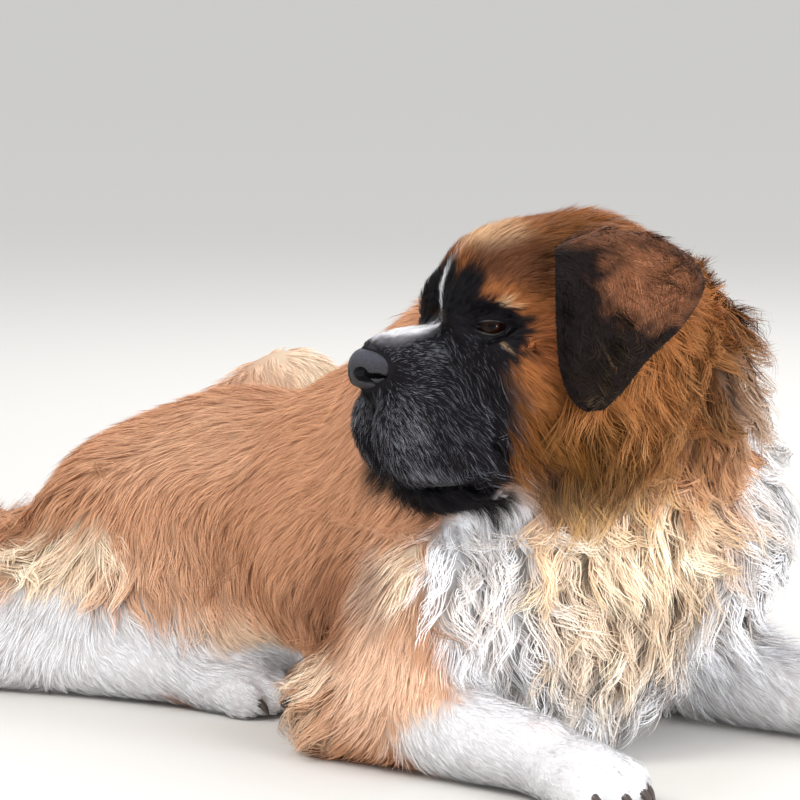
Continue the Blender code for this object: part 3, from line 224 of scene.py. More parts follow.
def paw_distance(points, place, heading, length, half_width, height):
    """A broad paw of a pad and four toes."""
    size = np.array((length, half_width, height))
    start = (place[0], place[1], 0.0)
    centre = turned(heading, PAD_PLACE[0] * length, 0.0, PAD_PLACE[1] * height, start)
    result = egg_distance(points, centre, size * PAD_SIZE, heading)
    for spread, reach in zip(TOE_SPREAD, TOE_REACH):
        toe = turned(heading, (reach - TOE_BACK) * length, spread * half_width, TOE_SIZE[2] * height, start)
        result = blend(result, egg_distance(points, toe, size * TOE_SIZE, heading), TOE_BLEND)
    return result


def body_field(points):
    """Signed distance to the trunk, neck, limbs, paws and tail."""
    result = None
    for _, centre, radii, heading, width in TRUNK:
        distance = egg_distance(points, centre, radii, heading)
        result = distance if result is None else blend(result, distance, width)
    for _, path, radii, width in LIMBS:
        result = blend(result, limb_distance(points, path, radii), width)
    for _, place, heading, length, half_width, height in PAWS:
        paw = paw_distance(points, place, heading, length, half_width, height)
        result = blend(result, paw, PAW_BLEND)
    return result




# skin
FOLDS = (
    # grooves of the head in head axes: points, radii, blend
    (((-0.096, 0.030, 0.030), (-0.110, 0.052, 0.017), (-0.128, 0.072, 0.014), (-0.146, 0.088, 0.020)),
     (0.0020, 0.0030, 0.0030, 0.0015), 0.008),
    (((-0.150, 0.078, -0.098), (-0.190, 0.084, -0.104), (-0.230, 0.086, -0.098), (-0.270, 0.082, -0.080)),
     (0.003, 0.006, 0.006, 0.003), 0.012),
    (((-0.118, 0.066, -0.060), (-0.126, 0.070, -0.085), (-0.128, 0.066, -0.106)), (0.002, 0.003, 0.003), 0.008),
)
LIDS = (
    (((-0.1005, 0.0435, 0.0345), (-0.1070, 0.0575, 0.0425), (-0.1190, 0.0665, 0.0445), (-0.1345, 0.0655, 0.0370)),
     (0.0026, 0.0040, 0.0046, 0.0034)),
    (((-0.1005, 0.0435, 0.0345), (-0.1070, 0.0580, 0.0268), (-0.1200, 0.0660, 0.0245), (-0.1345, 0.0655, 0.0340)),
     (0.0026, 0.0038, 0.0042, 0.0034)),
    (((-0.112, 0.044, 0.058), (-0.126, 0.062, 0.060), (-0.144, 0.074, 0.050)), (0.004, 0.007, 0.004)),
    (((-0.096, 0.034, -0.117), (-0.108, 0.042, -0.126), (-0.124, 0.047, -0.126), (-0.137, 0.050, -0.112)),
     (0.003, 0.0055, 0.0060, 0.0035)),
)


def head_field(points):
    result = None
    for name, centre, radii, width in HEAD:
        for _, place in sides(name, centre):
            distance = egg_distance(points, head_point(*place), radii, HEAD_HEADING)
            result = distance if result is None else blend(result, distance, width)
    for name, centre, radii, width in HEAD_HOLLOWS:
        for _, place in sides(name, centre):
            hollow = egg_distance(points, head_point(*place), radii, HEAD_HEADING)
            result = carve(result, hollow, width)
    for side in (1, -1):
        for path, radii, width in FOLDS:
            places = [head_point(forward, side * left, up) for forward, left, up in path]
            result = carve(result, limb_distance(points, places, radii), width)
        for path, radii in LIDS:
            places = [head_point(forward, side * left, up) for forward, left, up in path]
            result = blend(result, limb_distance(points, places, radii), 0.004)
    return result


def dog_field(points):
    return blend(body_field(points), head_field(points), 0.02)


def level_mesh(field, low, high, step):
    """Points and faces of the zero level, evaluated only in blocks near the surface."""
    block = 8
    size = [int(math.ceil((high[i] - low[i]) / step / block)) for i in range(3)]
    low = np.array(low, np.float32)
    centres = np.stack(np.meshgrid(*[np.arange(n) + 0.5 for n in size], indexing="ij"), -1) * (block * step) + low
    coarse = field(centres.astype(np.float32))
    value = np.repeat(np.repeat(np.repeat(np.where(coarse < 0, -1.0, 1.0).astype(np.float32), block, 0), block, 1),
                      block, 2)
    near = np.argwhere(np.abs(coarse) < block * step * 1.35)
    inner = np.stack(np.meshgrid(*[np.arange(block)] * 3, indexing="ij"), -1).reshape(-1, 3)
    for start in range(0, len(near), 600):
        cells = (near[start:start + 600, None] * block + inner[None]).reshape(-1, 3)
        result = field((cells * np.float32(step) + low).astype(np.float32))
        value[cells[:, 0], cells[:, 1], cells[:, 2]] = result
    for axis in range(3):
        np.moveaxis(value, axis, 0)[[0, -1]] = step
    inside = value < 0
    shape = tuple(n - 1 for n in value.shape)
    count = np.zeros(shape, np.int8)
    corners = [(i, j, k) for i in (0, 1) for j in (0, 1) for k in (0, 1)]
    for i, j, k in corners:
        count += inside[i:i + shape[0], j:j + shape[1], k:k + shape[2]]
    cells = np.argwhere((count > 0) & (count < 8))
    total = np.zeros((len(cells), 3))
    crossings = np.zeros(len(cells))
    for first in corners:
        for axis in range(3):
            if first[axis]:
                continue
            second = list(first)
            second[axis] = 1
            here = cells + np.array(first)
            there = cells + np.array(second)
            a = value[here[:, 0], here[:, 1], here[:, 2]]
            b = value[there[:, 0], there[:, 1], there[:, 2]]
            crossed = (a < 0) != (b < 0)
            share = np.where(crossed, a / np.where(crossed, a - b, 1.0), 0.0)
            point = here.astype(float)
            point[:, axis] += share
            total += point * crossed[:, None]
            crossings += crossed
    points = low + step * total / crossings[:, None]
    number = np.full(shape, -1, np.int32)
    number[cells[:, 0], cells[:, 1], cells[:, 2]] = np.arange(len(cells))
    faces = []
    for axis in range(3):
        lower = [slice(1, -1)] * 3
        upper = [slice(1, -1)] * 3
        lower[axis] = slice(0, -1)
        upper[axis] = slice(1, None)
        change = inside[tuple(lower)].astype(np.int8) - inside[tuple(upper)].astype(np.int8)
        places = np.argwhere(change != 0)
        sign = change[tuple(places.T)]
        places = places + np.array([0 if i == axis else 1 for i in range(3)])
        second, third = (axis + 1) % 3, (axis + 2) % 3
        ring = []
        for back_second, back_third in ((1, 1), (0, 1), (0, 0), (1, 0)):
            cell = places.copy()
            cell[:, second] -= back_second
            cell[:, third] -= back_third
            ring.append(number[tuple(cell.T)])
        quads = np.stack(ring, 1)
        faces.append(np.where(sign[:, None] > 0, quads, quads[:, ::-1]))
    return points, np.concatenate(faces)


def normals_of(points, faces):
    """Area-weighted normals of points from quads or triangles."""
    corner = points[faces]
    across = np.cross(corner[:, 2] - corner[:, 0], corner[:, -1] - corner[:, 1]) if faces.shape[1] == 4 \
        else np.cross(corner[:, 1] - corner[:, 0], corner[:, 2] - corner[:, 0])
    result = np.zeros_like(points)
    for column in range(faces.shape[1]):
        for axis in range(3):
            result[:, axis] += np.bincount(faces[:, column], across[:, axis], len(points))
    return result / (np.linalg.norm(result, axis=1, keepdims=True) + 1e-12)


# lie of the coat
def head_way(forward, left, up):
    return turned(HEAD_HEADING, forward, left, up)


# In head axes: place, way, length, rise. Both sides alike.
HEAD_LIE = (
    ((-0.030, 0.010, 0.020), (-1.0, 0.1, 0.1), 0.006, 0.0012),
    ((-0.072, 0.000, 0.034), (-1.0, 0.0, 0.1), 0.008, 0.0018),
    ((-0.093, 0.000, 0.055), (-0.7, 0.0, 0.7), 0.009, 0.0020),
    ((-0.095, 0.020, 0.095), (-0.3, 0.1, 1.0), 0.014, 0.0040),
    ((-0.146, 0.030, 0.126), (-1.0, 0.1, 0.2), 0.020, 0.0060),
    ((-0.230, 0.000, 0.138), (-1.0, 0.0, -0.1), 0.026, 0.0080),
    ((-0.230, 0.060, 0.128), (-0.8, 0.5, -0.2), 0.026, 0.0080),
    ((-0.320, 0.000, 0.100), (-0.8, 0.0, -0.6), 0.040, 0.0090),
    ((-0.050, 0.042, -0.010), (-0.9, 0.1, -0.3), 0.008, 0.0018),
    ((-0.030, 0.035, -0.045), (-0.5, 0.1, -0.9), 0.009, 0.0022),
    ((-0.055, 0.058, -0.060), (-0.5, 0.0, -0.9), 0.011, 0.0028),
    ((-0.060, 0.055, -0.100), (-0.6, 0.0, -0.8), 0.012, 0.0030),
    ((-0.105, 0.068, -0.060), (-0.75, 0.1, -0.65), 0.014, 0.0035),
    ((-0.004, 0.006, -0.055), (0.0, 0.3, -1.0), 0.008, 0.0022),
    ((-0.090, 0.000, -0.142), (-1.0, 0.0, -0.2), 0.012, 0.0030),
    ((-0.112, 0.062, 0.015), (-0.6, 0.2, -0.75), 0.009, 0.0018),
    ((-0.118, 0.050, 0.064), (-0.4, 0.5, 0.75), 0.011, 0.0028),
    ((-0.150, 0.085, 0.050), (-0.9, 0.2, 0.1), 0.014, 0.0035),
    ((-0.150, 0.098, -0.020), (-0.8, 0.1, -0.6), 0.018, 0.0045),
    ((-0.170, 0.085, -0.085), (-0.8, 0.0, -0.6), 0.022, 0.0060),
    ((-0.150, 0.030, -0.130), (-0.9, 0.0, -0.4), 0.022, 0.0060),
    ((-0.225, 0.110, -0.050), (-0.7, 0.1, -0.7), 0.036, 0.0090),
    ((-0.210, 0.060, -0.145), (-0.7, 0.0, -0.7), 0.036, 0.0100),
    ((-0.110, 0.030, -0.141), (-0.9, 0.0, -0.2), 0.009, 0.0020),
    ((-0.136, 0.052, -0.118), (-0.9, 0.1, -0.3), 0.011, 0.0024),
    ((-0.300, 0.095, 0.040), (-0.7, 0.2, -0.7), 0.055, 0.0130),
)
# In the layout's own axes: place, way, length, rise
BODY_LIE = (
    ((0.200, 0.130, 0.500), (0.35, 0.75, -0.35), 0.062, 0.015),
    ((0.170, -0.110, 0.330), (0.15, -0.05, -0.9), 0.062, 0.018),
    ((0.060, -0.060, 0.330), (-0.20, 0.0, -1.0), 0.045, 0.011),
    ((0.240, -0.110, 0.340), (0.35, 0.0, -0.9), 0.068, 0.020),
    ((0.300, -0.070, 0.360), (0.55, 0.0, -0.8), 0.070, 0.021),
    ((0.340, -0.020, 0.340), (0.80, 0.1, -0.6), 0.070, 0.020),
    ((0.350, 0.080, 0.340), (0.85, 0.35, -0.40), 0.066, 0.017),
    ((0.200, -0.070, 0.250), (0.20, -0.2, -0.9), 0.072, 0.022),
    ((0.280, -0.010, 0.240), (0.60, -0.2, -0.70), 0.070, 0.022),
    ((0.060, 0.160, 0.450), (-0.70, 0.60, -0.20), 0.060, 0.012),
    ((0.075, -0.105, 0.190), (-0.05, -0.15, -1.0), 0.070, 0.018),
    ((0.150, -0.090, 0.170), (0.25, -0.20, -0.95), 0.072, 0.022),
    ((0.226, -0.060, 0.200), (0.55, -0.25, -0.75), 0.070, 0.024),
    ((0.277, -0.010, 0.195), (0.80, -0.25, -0.30), 0.075, 0.026),
    ((0.310, 0.010, 0.160), (0.00, -0.35, -0.95), 0.075, 0.026),
    ((0.277, -0.020, 0.125), (-0.80, -0.35, -0.50), 0.080, 0.026),
    ((0.245, -0.035, 0.160), (-0.20, -0.35, -0.90), 0.080, 0.026),
    ((0.180, -0.100, 0.090), (0.20, -0.30, -0.95), 0.072, 0.020),
    ((0.372, 0.085, 0.200), (0.85, 0.10, -0.50), 0.066, 0.016),
    ((0.380, 0.120, 0.120), (0.55, 0.10, -0.85), 0.075, 0.018),
    ((0.420, 0.180, 0.200), (0.60, 0.55, -0.60), 0.070, 0.014),
    ((0.330, 0.280, 0.250), (0.20, 0.80, -0.55), 0.048, 0.010),
    ((0.010, 0.090, 0.420), (-0.60, 0.40, -0.70), 0.022, 0.003),
    ((0.030, 0.110, 0.440), (-0.60, 0.50, -0.60), 0.026, 0.004),
    ((0.000, -0.020, 0.250), (-0.45, 0.10, -0.85), 0.036, 0.007),
    ((0.000, -0.070, 0.170), (-0.30, 0.05, -0.95), 0.034, 0.007),
    ((-0.020, -0.085, 0.100), (-0.50, 0.05, -0.85), 0.026, 0.004),
    ((0.010, -0.125, 0.100), (-0.20, 0.00, -0.95), 0.022, 0.0035),
    ((-0.035, -0.105, 0.050), (-0.75, 0.10, -0.60), 0.032, 0.0070),
    ((-0.080, -0.030, 0.060), (-0.80, 0.30, -0.60), 0.062, 0.015),
    ((-0.048, 0.058, 0.290), (-0.70, 0.25, -0.60), 0.030, 0.005),
    ((-0.068, 0.052, 0.183), (-0.70, 0.20, -0.70), 0.034, 0.006),
    ((-0.120, 0.180, 0.220), (-0.75, 0.25, -0.55), 0.030, 0.005),
    ((-0.100, 0.150, 0.300), (-0.85, 0.40, -0.30), 0.028, 0.005),
    ((-0.060, 0.300, 0.350), (-0.80, 0.60, -0.05), 0.030, 0.005),
    ((-0.205, 0.303, 0.255), (-0.85, 0.25, -0.40), 0.030, 0.005),
    ((-0.290, 0.400, 0.250), (-0.85, 0.30, -0.35), 0.034, 0.006),
    ((0.100, 0.450, 0.200), (-0.45, 0.70, -0.60), 0.036, 0.007),
    ((-0.060, 0.120, 0.060), (-0.55, -0.10, -0.80), 0.065, 0.016),
    ((0.080, 0.480, 0.080), (-0.55, 0.40, -0.75), 0.065, 0.015),
    ((-0.256, 0.287, 0.200), (-0.10, -0.30, -0.90), 0.034, 0.006),
    ((-0.223, 0.243, 0.151), (0.20, -0.30, -0.90), 0.038, 0.008),
    ((-0.202, 0.216, 0.094), (0.30, -0.35, -0.80), 0.042, 0.010),
    ((-0.300, 0.260, 0.130), (0.25, -0.30, -0.85), 0.055, 0.013),
    ((-0.353, 0.349, 0.207), (-0.50, -0.20, -0.75), 0.042, 0.009),
    ((-0.384, 0.342, 0.150), (-0.45, -0.30, -0.85), 0.065, 0.018),
    ((-0.410, 0.470, 0.110), (-0.75, 0.20, -0.65), 0.075, 0.018),
    ((-0.130, 0.600, 0.290), (0.35, 0.00, -0.90), 0.028, 0.006),
    ((-0.130, 0.550, 0.240), (0.30, -0.20, -0.90), 0.034, 0.007),
    ((-0.220, 0.690, 0.150), (-0.45, 0.35, -0.80), 0.060, 0.014),
    ((-0.428, 0.580, 0.080), (-0.60, 0.75, -0.15), 0.066, 0.016),
    ((-0.475, 0.720, 0.060), (0.15, 0.98, -0.15), 0.070, 0.017),
    ((-0.400, 0.830, 0.060), (0.92, 0.22, -0.15), 0.070, 0.014),
    ((-0.250, 0.878, 0.045), (1.00, -0.05, -0.10), 0.066, 0.013),
    ((-0.420, 0.330, 0.080), (-0.50, -0.20, -0.80), 0.028, 0.006),
    ((-0.340, 0.270, 0.090), (-0.30, 0.10, -0.80), 0.022, 0.004),
    ((-0.285, 0.246, 0.055), (0.75, -0.35, -0.50), 0.015, 0.0028),
    ((-0.180, 0.215, 0.050), (0.85, -0.45, -0.25), 0.011, 0.002),
    ((-0.120, 0.180, 0.035), (0.85, -0.45, -0.35), 0.008, 0.0014),
    ((-0.220, 0.700, 0.050), (0.95, 0.00, -0.30), 0.014, 0.0025),
    ((-0.080, 0.692, 0.035), (0.95, -0.05, -0.35), 0.008, 0.0014),
    ((0.000, -0.113, 0.070), (0.60, -0.50, -0.50), 0.017, 0.003),
    ((0.000, -0.040, 0.040), (-0.30, 0.30, -0.85), 0.040, 0.009),
    ((0.074, -0.150, 0.060), (0.65, -0.60, -0.35), 0.012, 0.0020),
    ((0.145, -0.222, 0.055), (0.65, -0.70, -0.25), 0.008, 0.0014),
    ((0.190, -0.265, 0.035), (0.65, -0.70, -0.35), 0.007, 0.0012),
    ((0.370, 0.120, 0.060), (0.65, -0.45, -0.50), 0.016, 0.0030),
    ((0.440, 0.060, 0.050), (0.70, -0.60, -0.30), 0.011, 0.0020),
    ((0.520, 0.000, 0.040), (0.75, -0.60, -0.30), 0.007, 0.0013),
    ((0.320, 0.240, 0.060), (-0.10, 0.55, -0.80), 0.065, 0.016),
)


def lie_marks():
    marks = []
    for place, way, length, rise in HEAD_LIE:
        for side in ((1, -1) if place[1] else (1,)):
            marks.append((head_point(place[0], side * place[1], place[2]),
                          head_way(way[0], side * way[1], way[2]), length, rise, 0.016))
    for place, way, length, rise in BODY_LIE:
        marks.append((place, way, length, rise, 0.045))
    places = np.array([mark[0] for mark in marks])
    ways = np.array([mark[1] for mark in marks])
    ways /= np.linalg.norm(ways, axis=1, keepdims=True)
    sizes = np.array([mark[2:4] for mark in marks])
    reach = np.array([mark[4] for mark in marks])
    return places, ways, sizes, reach


MARKS = lie_marks()


def coat_at(points):
    """Way, length and rise of the coat at places, blended from the marks near them."""
    places, ways, sizes, reach = MARKS
    way = np.zeros((len(points), 3))
    size = np.zeros((len(points), 2))
    for start in range(0, len(points), 20000):
        part = points[start:start + 20000]
        distance = ((part[:, None] - places[None]) ** 2).sum(-1)
        weight = (reach ** 2 / (reach ** 2 + distance)) ** 3 / reach ** 1.0
        weight /= weight.sum(1, keepdims=True)
        way[start:start + 20000] = weight @ ways
        size[start:start + 20000] = weight @ sizes
    return way, size[:, 0], size[:, 1]


# markings
def tone(red, green, blue):
    """Linear colour from display values of 0 to 255."""
    return tuple((value / 255.0) ** 2.2 for value in (red, green, blue))


TONES = {
    "rust": tone(206, 152, 116), "rust_light": tone(222, 176, 142), "rust_dark": tone(154, 104, 74),
    "orange": tone(158, 98, 56), "sienna": tone(162, 96, 60), "brown": tone(92, 57, 38),
    "amber": tone(92, 55, 14), "black": tone(23, 21, 24), "soot": tone(58, 46, 42), "grey": tone(132, 130, 136),
    "tan": tone(216, 176, 136), "gold": tone(206, 164, 104), "cream": tone(248, 224, 196),
    # the warm beige tone (208, 180, 146) on the next line is painted shade among the bib's curls
    "stain": tone(208, 180, 146), "white": tone(230, 228, 229), "pink": tone(236, 200, 190),
    "peach": tone(240, 202, 172), "ruff": tone(130, 84, 48), "umber": tone(92, 58, 32), "dun": tone(176, 152, 120),
    "greige": tone(196, 170, 150), "lilac": tone(150, 146, 150), "wheat": tone(222, 182, 128), "bib": tone(230, 210, 187),
}
# Painted eggs in order: tone, axes (head or body), centre, radii, softness, strength
PAINT = (
    ("rust_light", "body", (-0.220, 0.320, 0.260), (0.200, 0.140, 0.070), 0.8, 0.7),
    ("rust_dark", "body", (-0.055, 0.035, 0.140), (0.080, 0.130, 0.135), 0.8, 0.85),
    # painted shadow: darkens the skin fold between the loin and the thigh
    ("rust_dark", "body", (-0.220, 0.230, 0.230), (0.060, 0.060, 0.050), 0.9, 0.4),
    ("rust_light", "body", (-0.250, 0.260, 0.150), (0.120, 0.090, 0.060), 0.8, 0.6),
    ("peach", "body", (-0.240, 0.210, 0.100), (0.120, 0.070, 0.045), 0.8, 0.9),
    ("cream", "body", (-0.170, 0.210, 0.080), (0.080, 0.060, 0.030), 0.8, 0.7),
    ("cream", "body", (-0.355, 0.315, 0.150), (0.110, 0.110, 0.046), 0.5, 1.0),
    ("peach", "body", (-0.100, 0.600, 0.280), (0.135, 0.120, 0.140), 0.75, 1.0),
    ("cream", "body", (-0.080, 0.580, 0.310), (0.100, 0.100, 0.070), 0.8, 0.8),
    ("greige", "body", (-0.018, -0.050, 0.180), (0.032, 0.075, 0.090), 0.7, 0.8),
    ("cream", "body", (0.008, -0.080, 0.210), (0.024, 0.060, 0.080), 0.7, 0.9),
    # upper arm
    ("peach", "body", (-0.010, -0.090, 0.095), (0.080, 0.080, 0.075), 0.5, 0.85),
    ("orange", "body", (-0.030, -0.105, 0.060), (0.045, 0.035, 0.030), 0.9, 0.5),
    # ruff
    ("ruff", "body", (0.190, -0.030, 0.405), (0.165, 0.170, 0.150), 0.3, 1.0),
    # partly the ruff's own dark brown and partly painted shadow under the ear
    ("umber", "body", (0.262, -0.080, 0.385), (0.075, 0.090, 0.075), 0.9, 1.0),
    ("umber", "body", (0.130, -0.100, 0.290), (0.050, 0.050, 0.020), 0.9, 0.6),
    ("gold", "body", (0.170, -0.120, 0.275), (0.110, 0.080, 0.040), 0.8, 0.9),
    ("greige", "body", (0.335, -0.020, 0.372), (0.052, 0.100, 0.080), 0.8, 0.9),
    # white of the chest, neck and legs
    ("white", "body", (0.200, -0.110, 0.110), (0.170, 0.210, 0.140), 0.20, 1.0),
    ("white", "body", (0.085, -0.080, 0.190), (0.066, 0.130, 0.110), 0.25, 1.0),
    ("cream", "body", (0.235, -0.040, 0.240), (0.130, 0.150, 0.052), 0.5, 1.0),
    ("white", "body", (0.440, 0.100, 0.255), (0.158, 0.230, 0.190), 0.18, 1.0),
    ("white", "body", (0.520, -0.010, 0.040), (0.150, 0.140, 0.090), 0.20, 1.0),
    ("white", "body", (0.300, 0.060, 0.100), (0.120, 0.160, 0.120), 0.25, 1.0),
    ("cream", "body", (-0.075, -0.030, 0.105), (0.055, 0.060, 0.030), 0.7, 0.9),
    ("cream", "body", (0.220, -0.080, 0.215), (0.130, 0.110, 0.060), 0.8, 0.9),
    ("bib", "body", (0.240, -0.060, 0.160), (0.150, 0.130, 0.120), 0.5, 0.95),
    # painted shade: these two warm beige eggs stand for shade among the curls of the bib
    ("stain", "body", (0.275, -0.010, 0.170), (0.060, 0.060, 0.045), 0.9, 0.6),
    ("stain", "body", (0.160, -0.095, 0.225), (0.090, 0.050, 0.026), 0.9, 0.6),
    ("dun", "body", (0.223, -0.100, 0.238), (0.090, 0.070, 0.030), 0.9, 0.8),
    # painted shade: warm beige shade among the curls of the bib
    ("stain", "body", (0.204, -0.120, 0.133), (0.060, 0.060, 0.040), 0.9, 0.6),
    ("greige", "body", (0.045, -0.130, 0.170), (0.040, 0.060, 0.040), 0.9, 0.55),
    ("white", "body", (0.130, -0.180, 0.035), (0.180, 0.150, 0.062), 0.20, 1.0),
    ("white", "body", (0.400, 0.110, 0.060), (0.230, 0.220, 0.110), 0.20, 1.0),
    ("white", "body", (-0.350, 0.270, 0.055), (0.240, 0.100, 0.070), 0.25, 1.0),
    ("white", "body", (-0.140, 0.190, 0.030), (0.130, 0.090, 0.050), 0.25, 1.0),
    ("white", "body", (-0.130, 0.700, 0.030), (0.220, 0.070, 0.065), 0.25, 1.0),
    ("white", "body", (-0.230, 0.880, 0.050), (0.130, 0.070, 0.080), 0.4, 1.0),
    ("cream", "body", (-0.070, 0.050, 0.045), (0.080, 0.110, 0.060), 0.5, 0.95),
    ("pink", "body", (0.130, -0.195, 0.075), (0.030, 0.025, 0.015), 0.9, 0.5),
    # head
    ("orange", "head", (-0.190, 0.0, 0.010), (0.170, 0.130, 0.160), 0.25, 1.0),
    ("sienna", "head", (-0.155, 0.090, 0.030), (0.030, 0.040, 0.050), 0.8, 0.7),
    ("amber", "head", (-0.185, 0.085, -0.072), (0.115, 0.090, 0.085), 0.8, 1.0),
    ("brown", "head", (-0.135, 0.045, 0.088), (0.060, 0.060, 0.045), 0.6, 1.0),
    ("umber", "head", (-0.190, 0.040, 0.110), (0.080, 0.070, 0.045), 0.8, 0.7),
    ("tan", "head", (-0.112, 0.010, 0.118), (0.058, 0.060, 0.032), 0.8, 1.0),
    ("soot", "head", (-0.102, 0.080, -0.020), (0.040, 0.060, 0.050), 0.40, 0.9),
    ("black", "head", (-0.055, 0.030, -0.045), (0.082, 0.160, 0.100), 0.14, 1.0),
    ("black", "head", (-0.108, 0.066, -0.080), (0.026, 0.040, 0.045), 0.35, 1.0),
    ("black", "head", (-0.108, 0.070, 0.030), (0.042, 0.048, 0.036), 0.22, 1.0),
    ("black", "head", (-0.094, 0.036, 0.050), (0.022, 0.026, 0.036), 0.35, 1.0),
    ("black", "head", (-0.099, 0.043, 0.066), (0.017, 0.026, 0.028), 0.4, 1.0),
    ("black", "head", (-0.098, 0.000, -0.122), (0.058, 0.075, 0.030), 0.3, 1.0),
    ("soot", "head", (-0.185, 0.076, -0.102), (0.075, 0.045, 0.022), 0.7, 0.85),
    ("tan", "head", (-0.125, 0.074, 0.057), (0.011, 0.016, 0.006), 0.8, 0.55),
    ("tan", "head", (-0.121, 0.086, 0.021), (0.005, 0.008, 0.004), 0.9, 0.4),
    ("lilac", "head", (-0.048, 0.000, 0.026), (0.048, 0.032, 0.022), 0.7, 0.8),
    ("white", "head", (-0.048, 0.000, 0.030), (0.046, 0.023, 0.017), 0.45, 1.0),
    ("black", "head", (-0.094, 0.000, 0.060), (0.030, 0.034, 0.034), 0.35, 1.0),
    ("white", "head", (-0.080, 0.000, 0.040), (0.022, 0.008, 0.018), 0.45, 0.95),
    ("white", "head", (-0.090, 0.000, 0.066), (0.014, 0.006, 0.028), 0.6, 0.9),
    ("white", "head", (-0.098, 0.005, 0.100), (0.014, 0.004, 0.024), 0.8, 0.4),
    ("white", "head", (-0.004, 0.004, -0.058), (0.008, 0.005, 0.028), 0.5, 0.7),
)


# Silver hairs among the black: centre and radii in head axes, share
SILVER = (
    ((-0.035, 0.045, -0.060), (0.044, 0.034, 0.054), 0.65),
    ((-0.018, 0.030, -0.045), (0.026, 0.026, 0.034), 0.70),
    ((-0.050, 0.050, -0.098), (0.044, 0.032, 0.022), 0.75),
    ((-0.060, 0.030, 0.010), (0.050, 0.026, 0.020), 0.45),
    ((-0.004, 0.010, -0.060), (0.012, 0.012, 0.032), 0.80),
    ((-0.080, 0.060, -0.050), (0.090, 0.050, 0.095), 0.20),
)


def head_axes(points):
    angle = math.radians(HEAD_HEADING)
    x = points[:, 0] - NOSE_TIP[0]
    y = points[:, 1] - NOSE_TIP[1]
    return np.stack((x * math.cos(angle) + y * math.sin(angle), y * math.cos(angle) - x * math.sin(angle),
                     points[:, 2] - NOSE_TIP[2]), -1)


def ripple(points, size, shift=0.0):
    """Smooth noise from a few sines, about -1 to 1."""
    x, y, z = (points / size).T
    return (np.sin(x * 5.1 + 1.7 * np.sin(y * 3.3 + shift) + shift) * np.cos(y * 4.3 + 1.3 * np.sin(z * 3.9 + shift))
            + np.sin(z * 5.7 + 1.9 * np.sin(x * 2.9 - shift) + 2.0 * shift)) / 2.0


def markings(points):
    """Colour of the coat at places of the skin."""
    colour = np.tile(np.array(TONES["rust"]), (len(points), 1))
    in_head = head_axes(points)
    beside = np.clip((in_head[:, 1] + 0.124) / 0.018, 0.0, 1.0)
    in_head = np.stack((in_head[:, 0], np.abs(in_head[:, 1]), in_head[:, 2]), -1)
    for name, axes, centre, radii, softness, strength in PAINT:
        own = in_head if axes == "head" else points
        scale = min(radii)
        jitter = 0.16 * ripple(points, max(scale * 1.5, 0.012), 0.7 * len(name))
        reach = np.sqrt((((own - np.array(centre)) / np.array(radii)) ** 2).sum(-1)) + jitter * min(1.0, softness * 1.5)
        share = np.clip((1.0 - reach) / softness, 0.0, 1.0)
        share = strength * share * share * (3.0 - 2.0 * share)
        share = share * beside if axes == "head" else share
        colour += (np.array(TONES[name]) - colour) * share[:, None]
    return colour


def egg_share(places, centre, radii):
    """1 at the middle of an egg, falling to 0 at its border."""
    reach = np.sqrt((((places - np.array(centre)) / np.array(radii)) ** 2).sum(-1))
    return np.clip(1.0 - reach, 0.0, 1.0)


def silver_share(points):
    """Chance that a hair at a place is silver."""
    own = head_axes(points)
    own[:, 1] = np.abs(own[:, 1])
    result = np.zeros(len(points))
    for centre, radii, share in SILVER:
        result = np.maximum(result, share * egg_share(own, centre, radii) ** 0.7)
    return result


def pale_share(points):
    """How far the tips of a lock turn to gold and cream."""
    length = coat_at(points)[1]
    share = np.clip(1.8 * egg_share(points, (0.220, -0.060, 0.300), (0.280, 0.260, 0.200)), 0.0, 1.0)
    low = np.clip((0.350 - points[:, 2]) / 0.080, 0.30, 1.0)
    return share * low * np.clip((length - 0.035) / 0.025, 0.0, 1.0)


COLLAR_CENTRE = np.array((0.200, 0.056, 0.360))
COLLAR_AXIS = np.array((-0.21, -0.83, 0.52)) / np.linalg.norm((-0.21, -0.83, 0.52))
TAB_PLACE = np.array((0.330, 0.050, 0.385))


def tab_clear(points):
    """1 away from the collar's tab, 0 where hair would hide it."""
    apart = points - TAB_PLACE - 0.018 * COLLAR_AXIS
    return 1.0 - np.exp(-((apart ** 2).sum(1) / 0.030 ** 2) ** 2)


def collar_cover(points):
    """1 just ahead of the collar, where the hair has to flow over it."""
    apart = points - COLLAR_CENTRE
    ahead = apart @ COLLAR_AXIS
    ring = np.linalg.norm(apart - ahead[:, None] * COLLAR_AXIS, axis=1)
    shown = np.clip((points[:, 0] + 0.02) / 0.12, 0.15, 1.0)
    return np.exp(-((ahead - 0.030) / 0.028) ** 2) * (ring < 0.19) * shown * tab_clear(points)


# building pieces
OFFSET = np.array((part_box("eye_left")[0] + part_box("eye_left")[1]) / 2) - np.array(head_point(*EYE_PLACE))


def new_object(name, mesh, material, replaced=()):
    item = bpy.data.objects.new(name, mesh)
    bpy.context.scene.collection.objects.link(item)
    mesh.materials.clear()
    mesh.materials.append(material)
    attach(item, "root")
    if replaced:
        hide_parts(*replaced)
    return item


